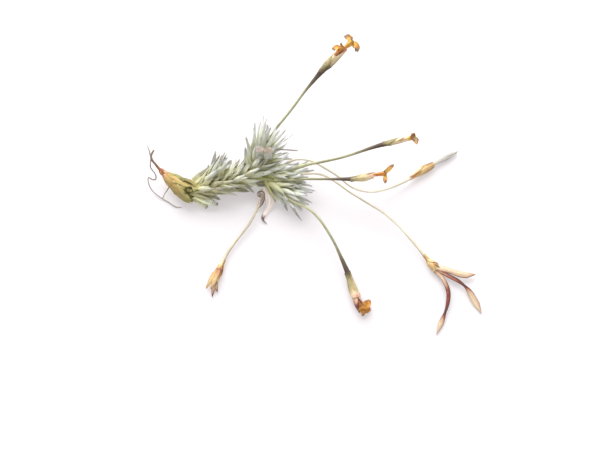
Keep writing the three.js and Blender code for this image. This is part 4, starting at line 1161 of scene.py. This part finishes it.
def add_scraps(piece, rng):
    """Strips of sheath that lie loose over the others."""
    for scrap in OLD_SCRAPS:
        line = Line(scrap["line"])
        strip = blade(Frames(line, -level_across(line)), scrap["half_widths"], SHEATH["thickness"],
                      0.3, rng, rows=30, ruffle=0.06, ragged=0.2, nerves=3, nerve=0.04)
        tint = scrap["tint"] + 0.2 * strip.along + 0.1 * np.abs(strip.across) ** 3
        piece.add(strip, tint=tint, tone=rng.random())


def add_broken_stub(piece, rng):
    """The hollow end of a stalk that broke off, with its pith."""
    frames = Frames(Line(BROKEN_STUB["line"]))
    for turn in BROKEN_STUB["turns"]:
        half = rolled_sheet(frames, BROKEN_STUB["radii"], turn, BROKEN_STUB["extent"], rng,
                            thickness=0.14, drawn_in=0, ragged=0.35, rows=12)
        tint = np.where(half.side > 0, BROKEN_STUB["outer_tint"], BROKEN_STUB["inner_tint"])
        piece.add(half, tint=tint * np.ones_like(half.along), tone=0.4)
    pith = rod(BROKEN_STUB["line"], BROKEN_STUB["pith"], sides=12, step=0.3)
    piece.add(pith, tint=BROKEN_STUB["pith_tint"], tone=0.6)


def add_fibres(piece, axis, radius, rng):
    """Frayed threads that stand off the old base."""
    for _ in range(FIBRES["count"]):
        place, azimuth = rng.uniform(0.1, 0.95), rng.uniform(0, 2 * math.pi)
        forward, outward, _ = directions_at(axis, place, azimuth)
        start = axis(place)[0] + outward * radius(place) * FIBRES["rooted"]
        line = turning_line(start, forward, outward, rng.uniform(*FIBRES["lengths"]),
                            rng.uniform(*FIBRES["lifts"]), rng.uniform(*FIBRES["turns"]))
        points = line(np.linspace(0, 1, 5))
        points[:, 2] = np.maximum(points[:, 2], FIBRES["lowest"])
        fibre = rod(points, FIBRES["radii"], sides=6, step=0.35)
        piece.add(fibre, tint=rng.uniform(0.1, 0.7), tone=rng.random())


def make_old_base():
    rng = np.random.default_rng(OLD_BASE["seed"])
    piece = Piece("old_base_sheaths", MATERIALS["old_base"], "old_base", "old_base")
    inside = [r * OLD_BASE["inside"] for r in OLD_BASE["radii"]]
    core = rod(OLD_BASE["line"], inside, 24, 0.4, ribs=(9, 0.04), rough=0.03, rng=rng)
    piece.add(core, tint=core.along * 0.9, tone=0.3)
    axis = Line(OLD_BASE["line"])
    radius = profile(OLD_BASE["radii"])
    add_sheaths(piece, axis, radius, rng)
    add_scraps(piece, rng)
    add_broken_stub(piece, rng)
    knob = rod(KNOB["line"], KNOB["radii"], 20, 0.12, ribs=(5, 0.06), rough=0.05, rng=rng)
    piece.add(knob, tint=KNOB["tint"], tone=0.4)
    add_fibres(piece, axis, radius, rng)
    piece.make()


def make_roots():
    rng = np.random.default_rng(ROOT_SEED)
    piece = Piece("root_wires", MATERIALS["root"], "root", "roots")
    for root in ROOTS:
        wire = rod(root["line"], root["radii"], 10, 0.25, ribs=(3, 0.08), rough=0.12, rng=rng)
        piece.add(wire, tint=profile(root["tint"])(wire.along), tone=rng.random())
    piece.make()
    piece = Piece("old_stalk_stick", MATERIALS["root"], "root", "old_stalk")
    stick = rod(OLD_STALK["line"], OLD_STALK["radii"], 10, 0.25, ribs=(4, 0.1), rough=0.06, rng=rng)
    piece.add(stick, tint=profile(OLD_STALK["tint"])(stick.along), tone=0.1)
    piece.make()


def make_stalk(number, stalk):
    rng = np.random.default_rng(STALK_SEED + number)
    kind = "stalk_green" if stalk["fresh"] else "stalk_dry"
    piece = Piece(f"stalk_{number}_stem", MATERIALS[kind], kind, f"stalk_{number}")
    share = np.linspace(0, 1, 26)
    widening = np.maximum(0, (share - STALK_THICKENS) / (1 - STALK_THICKENS))
    radii = mix(STALK_RADIUS, stalk["end_radius"] * BRACT["into_stalk"], widening ** 1.5)
    if "swelling" in stalk:
        swelling = stalk["swelling"]
        radii += swelling["by"] * np.exp(-((share - swelling["at"]) / swelling["reach"]) ** 2)
    stem = rod([*stalk["line"], stalk["bract"][0]], radii, 14, 0.35, ribs=(5, 0.05), rough=0.035, rng=rng)
    piece.add(stem, tint=profile(stalk["tint"])(stem.along), tone=0.5)
    piece.make()


def make_bract(number, stalk):
    """Papery sheets rolled round the calyx, open at the mouth, with sepals that show at the tip."""
    rng = np.random.default_rng(BRACT_SEED + number)
    kind = "bract_fresh" if stalk["fresh"] else "bract_dry"
    edge = BRACT["fresh_edge"] if stalk["fresh"] else BRACT["dry_edge"]
    piece = Piece(f"bract_{number}_sheets", MATERIALS[kind], kind, f"bract_{number}")
    start, *rest = stalk["bract"]
    back = np.array(start) + (np.array(start) - rest[0]) * BRACT["rooted"]
    frames = Frames(Line([back.tolist(), start, *rest]))
    radii = np.array(stalk["bract_radii"]) * BRACT["fit"]
    radii = np.concatenate([[stalk["end_radius"] * BRACT["into_stalk"]], radii])
    tints = profile(stalk["bract_tint"])

    def painted_shade_on(sheet):
        """Painted shade: how much darker a sheet is where it faces the side turned from the key light."""
        facing = unit(sheet.grid - sheet.grid.mean(1, keepdims=True)) @ stalk.get("painted_shade_side", [0, 0, 0])
        return BRACT["painted_shade_side"] * np.maximum(0, facing) ** 3

    core_radii = radii * BRACT["core"]
    core_radii[-1] *= BRACT["core_tip"]
    inside = Line([start, *rest])(np.linspace(0, 0.97, 8)).tolist()
    core = rod(inside, core_radii, sides=18, step=0.3)
    piece.add(core, tint=tints(core.along) + 0.6 * edge, tone=0.3)
    past = np.array(rest[-1]) + unit(np.array(rest[-1]) - rest[-2]) * stalk.get("calyx", 0.0)
    calyx = Frames(Line([start, *rest, past.tolist()] if "calyx" in stalk else [start, *rest]))
    for sepal_number in range(SEPALS["count"]):
        turn = stalk["mouth"] + sepal_number * 2 * math.pi / SEPALS["count"]
        sepal = rolled_sheet(
            calyx, radii * SEPALS["fit"], turn, SEPALS["extent"], rng, thickness=0.09, nerves=3,
            foot=0.3, reach=rng.uniform(*SEPALS["lengths"]), overlap=0.02, drawn_in=0.55)
        tint = tints(sepal.along) + 0.12 + 0.2 * np.abs(sepal.across) ** 6
        # Painted shade on the side turned from the light, towards the darker end of the colours.
        dark = painted_shade_on(sepal)
        tint = np.where(tint > SEPALS["dark_from"], tint + 0.5 * dark, tint - dark)
        piece.add(sepal, tint=tint, tone=rng.random())
    for turn, extent, reach, nerves in BRACT_SHEETS:
        sheet = rolled_sheet(
            frames, radii, stalk["mouth"] + turn, extent, rng, nerves=nerves,
            reach=reach, drawn_in=stalk.get("drawn_in", BRACT["drawn_in"]), ragged=0.05)
        # The last term is painted shade on the side turned from the light.
        tint = tints(sheet.along) - 0.05 + edge * np.abs(sheet.across) ** 8 - painted_shade_on(sheet)
        piece.add(sheet, tint=tint, tone=rng.random())
    for shred in stalk.get("shreds", []):
        line = Line(shred["line"])
        strip = blade(Frames(line, -level_across(line)), shred["half_widths"], 0.14, 0.35, rng,
                      ruffle=0.05, ragged=0.15, nerves=4, nerve=0.04)
        tint = profile(shred["tint"])(strip.along) + 0.3 * np.abs(strip.across) ** 4
        piece.add(strip, tint=tint, tone=rng.random())
    piece.make()


def make_flower(name, flower):
    rng = np.random.default_rng(flower["seed"])
    piece = Piece(name + "_petals", MATERIALS["petal"], "petal", name)
    throat = Line(flower["line"])
    half_widths = np.array(PETAL["half_widths"]) * flower.get("broad", 1.0)
    tube = rod(flower["line"], flower["radii"], 18, 0.2, ribs=(6, 0.1), rough=0.04, rng=rng)
    piece.add(tube, tint=profile(flower["tube_tint"])(tube.along), tone=0.5)
    for azimuth, opening, closing, length, twist in flower["petals"]:
        forward, outward, across = directions_at(throat, 1, azimuth * DEGREE)
        base = throat(1)[0] - forward * PETAL["rooted"]
        line = turning_line(base, forward, outward, length * PETAL["reach"], opening * DEGREE,
                            closing * DEGREE)

        def at(shares, line=line):
            points = line(shares)
            points[:, 2] = np.maximum(points[:, 2], PETAL["lowest"])
            return points

        petal = blade(
            Frames(at, across, twist, PETAL["twisted_by"]), half_widths, PETAL["thickness"],
            PETAL["cup"], rng, rows=34, columns=13, ruffle=0.22, ragged=0.12, nerves=3, nerve=0.03)
        tint = profile(flower["petal_tint"])(petal.along) + 0.15 * np.abs(petal.across) ** 4
        piece.add(petal, tint=tint, tone=rng.random())
    piece.make()


def make_capsule(name, capsule):
    rng = np.random.default_rng(capsule["seed"])
    piece = Piece(name + "_valves", MATERIALS["capsule"], "capsule", name)
    for valve in capsule["valves"]:
        line = Line(valve["line"])
        shell = blade(
            Frames(line, -level_across(line)), valve["half_widths"], VALVE["thickness"], VALVE["cup"],
            rng, rows=50, columns=13, ruffle=0.05, nerves=4, nerve=0.03)
        # The last term is painted light, one edge paler than the other.
        tint = (profile(valve["tint"])(shell.along) + 0.35 * np.abs(shell.across) ** 4
                - valve["lit"] * shell.across)
        piece.add(shell, tint=tint, tone=rng.random())
    piece.make()


def make_seed_plume():
    rng = np.random.default_rng(SEED_PLUME["seed"])
    piece = Piece("seed_plume_4_hairs", MATERIALS["seed_plume"], "seed_plume", "seed_plume_4")
    frames = Frames(Line(SEED_PLUME["line"]))
    radius = profile(SEED_PLUME["radii"])
    for _ in range(SEED_PLUME["hairs"]):
        start, stop = rng.uniform(0, 0.35), rng.uniform(0.6, 1)
        turn, swirl = rng.uniform(0, 2 * math.pi), rng.uniform(-1, 1)
        share = np.linspace(start, stop, 8)
        angle = turn + swirl * (share - start)
        reach = radius(share) * mix(0.3, 1.0, rng.random()) * np.linspace(0.5, 1, 8)
        middle, across, outward = frames(share)
        sideways, out = reach * np.sin(angle), reach * np.cos(angle)
        points = middle + across * sideways[:, None] + outward * out[:, None]
        hair = rod(points, SEED_PLUME["hair_radii"], sides=4, step=1.1)
        piece.add(hair, tint=rng.random() * 0.8, tone=rng.random())
    grain = SEED_PLUME["grain"]
    piece.add(rod(grain["line"], grain["radii"], sides=12, step=0.12), tint=grain["tint"], tone=0.2)
    piece.make()


def make_broken_ends():
    """The dry ends of the upper shoot's broken leaves."""
    rng = np.random.default_rng(BROKEN_ENDS["seed"])
    piece = Piece("broken_leaf_ends", MATERIALS["leaf_dry"], "leaf_dry")
    for leaf in BROKEN_LEAVES["upper_shoot"]:
        end = Line(Line(leaf["line"])(np.linspace(BROKEN_ENDS["from"], BROKEN_ENDS["to"], 8)))
        frames = Frames(end, level_across(end))
        _, _, downward = frames.parts
        frames.shift(-downward * BROKEN_ENDS["above"])
        dry = blade(
            frames, BROKEN_ENDS["half_widths"], BROKEN_ENDS["thickness"], 0.3, rng, columns=15,
            ruffle=0.12, ragged=0.3, nerves=4, nerve=0.05)
        folds = np.maximum(0, np.cos(dry.across * 3 * math.pi)) ** 4
        piece.add(dry, tint=leaf["dry"] + 0.15 * folds + 0.3 * np.abs(dry.across) ** 4)
    piece.make()


def make_dry_leaves():
    """The dead leaf under the main shoot: one part rolled up, one twisted."""
    rng = np.random.default_rng(DRY_LEAF["seed"])
    piece = Piece("dry_leaf_blades", MATERIALS["leaf_dry"], "leaf_dry", "dry_leaf")
    rolled = rolled_sheet(
        Frames(Line(CURLED_LEAF["line"])), CURLED_LEAF["radii"], CURLED_LEAF["turn"],
        CURLED_LEAF["extent"], rng, thickness=0.16, nerves=4, drawn_in=0.5, ragged=0.06, rows=40)
    rim = np.clip(1 - rolled.along / CURLED_LEAF["rim"], 0, 1)
    tint = np.where(rolled.side > 0, CURLED_LEAF["outer_tint"], CURLED_LEAF["inner_tint"])
    piece.add(rolled, tint=tint + 0.8 * rim + 0.4 * np.abs(rolled.across) ** 8, tone=0.4)
    frames = Frames(Line(DRY_LEAF["line"]), np.array([1.0, 0, 0]), DRY_LEAF["twist"])
    twisted = blade(frames, DRY_LEAF["half_widths"], 0.14, 0.2, rng, rows=44, columns=15,
                    ruffle=0.2, ragged=0.1, nerves=5, nerve=0.04)
    tint = profile(DRY_LEAF["tint"])(twisted.along) + 0.15 * np.abs(twisted.across) ** 10
    piece.add(twisted, tint=tint, tone=0.8)
    piece.make()


shoots = {name: grow_leafy_shoot(name, shoot) for name, shoot in SHOOTS.items()}
leaf_points = [leaf.grid.reshape(-1, 3) for grown, _ in shoots.values() for leaf, _, _ in grown]
leaf_crowding = Crowding(np.concatenate(leaf_points))
for shoot_name, (shoot_leaves, shoot_rng) in shoots.items():
    make_leafy_shoot(shoot_name, SHOOTS[shoot_name], shoot_leaves, shoot_rng, leaf_crowding)
make_old_base()
make_roots()
for stalk_number, stalk_spec in enumerate(STALKS, 1):
    make_stalk(stalk_number, stalk_spec)
    make_bract(stalk_number, stalk_spec)
for flower_name, flower_spec in FLOWERS.items():
    make_flower(flower_name, flower_spec)
for capsule_name, capsule_spec in CAPSULES.items():
    make_capsule(capsule_name, capsule_spec)
make_seed_plume()
make_dry_leaves()
make_broken_ends()


def make_floor():
    """A pale floor that glows a little, so that it is nearly white round the plant."""
    mesh = bpy.data.meshes.new("floor")
    edge = FLOOR["half_width"]
    mesh.from_pydata([(-edge, -edge, 0), (edge, -edge, 0), (edge, edge, 0), (-edge, edge, 0)], [],
                     [(0, 1, 2, 3)])
    nodes = Nodes("floor")
    grain = nodes.noise(FLOOR["grain"])
    colour = nodes.ramp(grain, FLOOR["colours"])
    mesh.materials.append(nodes.finish(
        colour, FLOOR["roughness"], nodes.bump(grain, FLOOR["relief"]), Specular_IOR_Level=0.1,
        Emission_Color=FLOOR["glow_colour"], Emission_Strength=FLOOR["glow"]))
    floor = bpy.data.objects.new("floor", mesh)
    bpy.context.scene.collection.objects.link(floor)


def make_light(name, place, size, power):
    data = bpy.data.lights.new(name, "AREA")
    data.shape = "DISK"
    data.size = size
    data.energy = power
    light = bpy.data.objects.new(name, data)
    light.location = place
    light.rotation_euler = (Vector(LIGHT_AIM) - light.location).to_track_quat("-Z", "Y").to_euler()
    bpy.context.scene.collection.objects.link(light)


def make_sky():
    world = bpy.data.worlds.new("world")
    world.use_nodes = True
    background = world.node_tree.nodes["Background"]
    background.inputs["Color"].default_value = SKY["colour"]
    background.inputs["Strength"].default_value = SKY["strength"]
    bpy.context.scene.world = world


def make_camera():
    data = bpy.data.cameras.new("camera")
    data.lens = LENS
    data.sensor_width = SENSOR
    camera = bpy.data.objects.new("camera", data)
    target = Vector(TARGET) * MM
    back = Vector((0, -math.cos(ELEVATION), math.sin(ELEVATION))) * DISTANCE * MM
    camera.location = target + back
    camera.rotation_euler = (-back).to_track_quat("-Z", "Y").to_euler()
    bpy.context.scene.collection.objects.link(camera)
    bpy.context.scene.camera = camera


make_floor()
make_camera()
for light_spec in LIGHTS:
    make_light(**light_spec)
make_sky()
bpy.context.scene.view_settings.view_transform = "Standard"
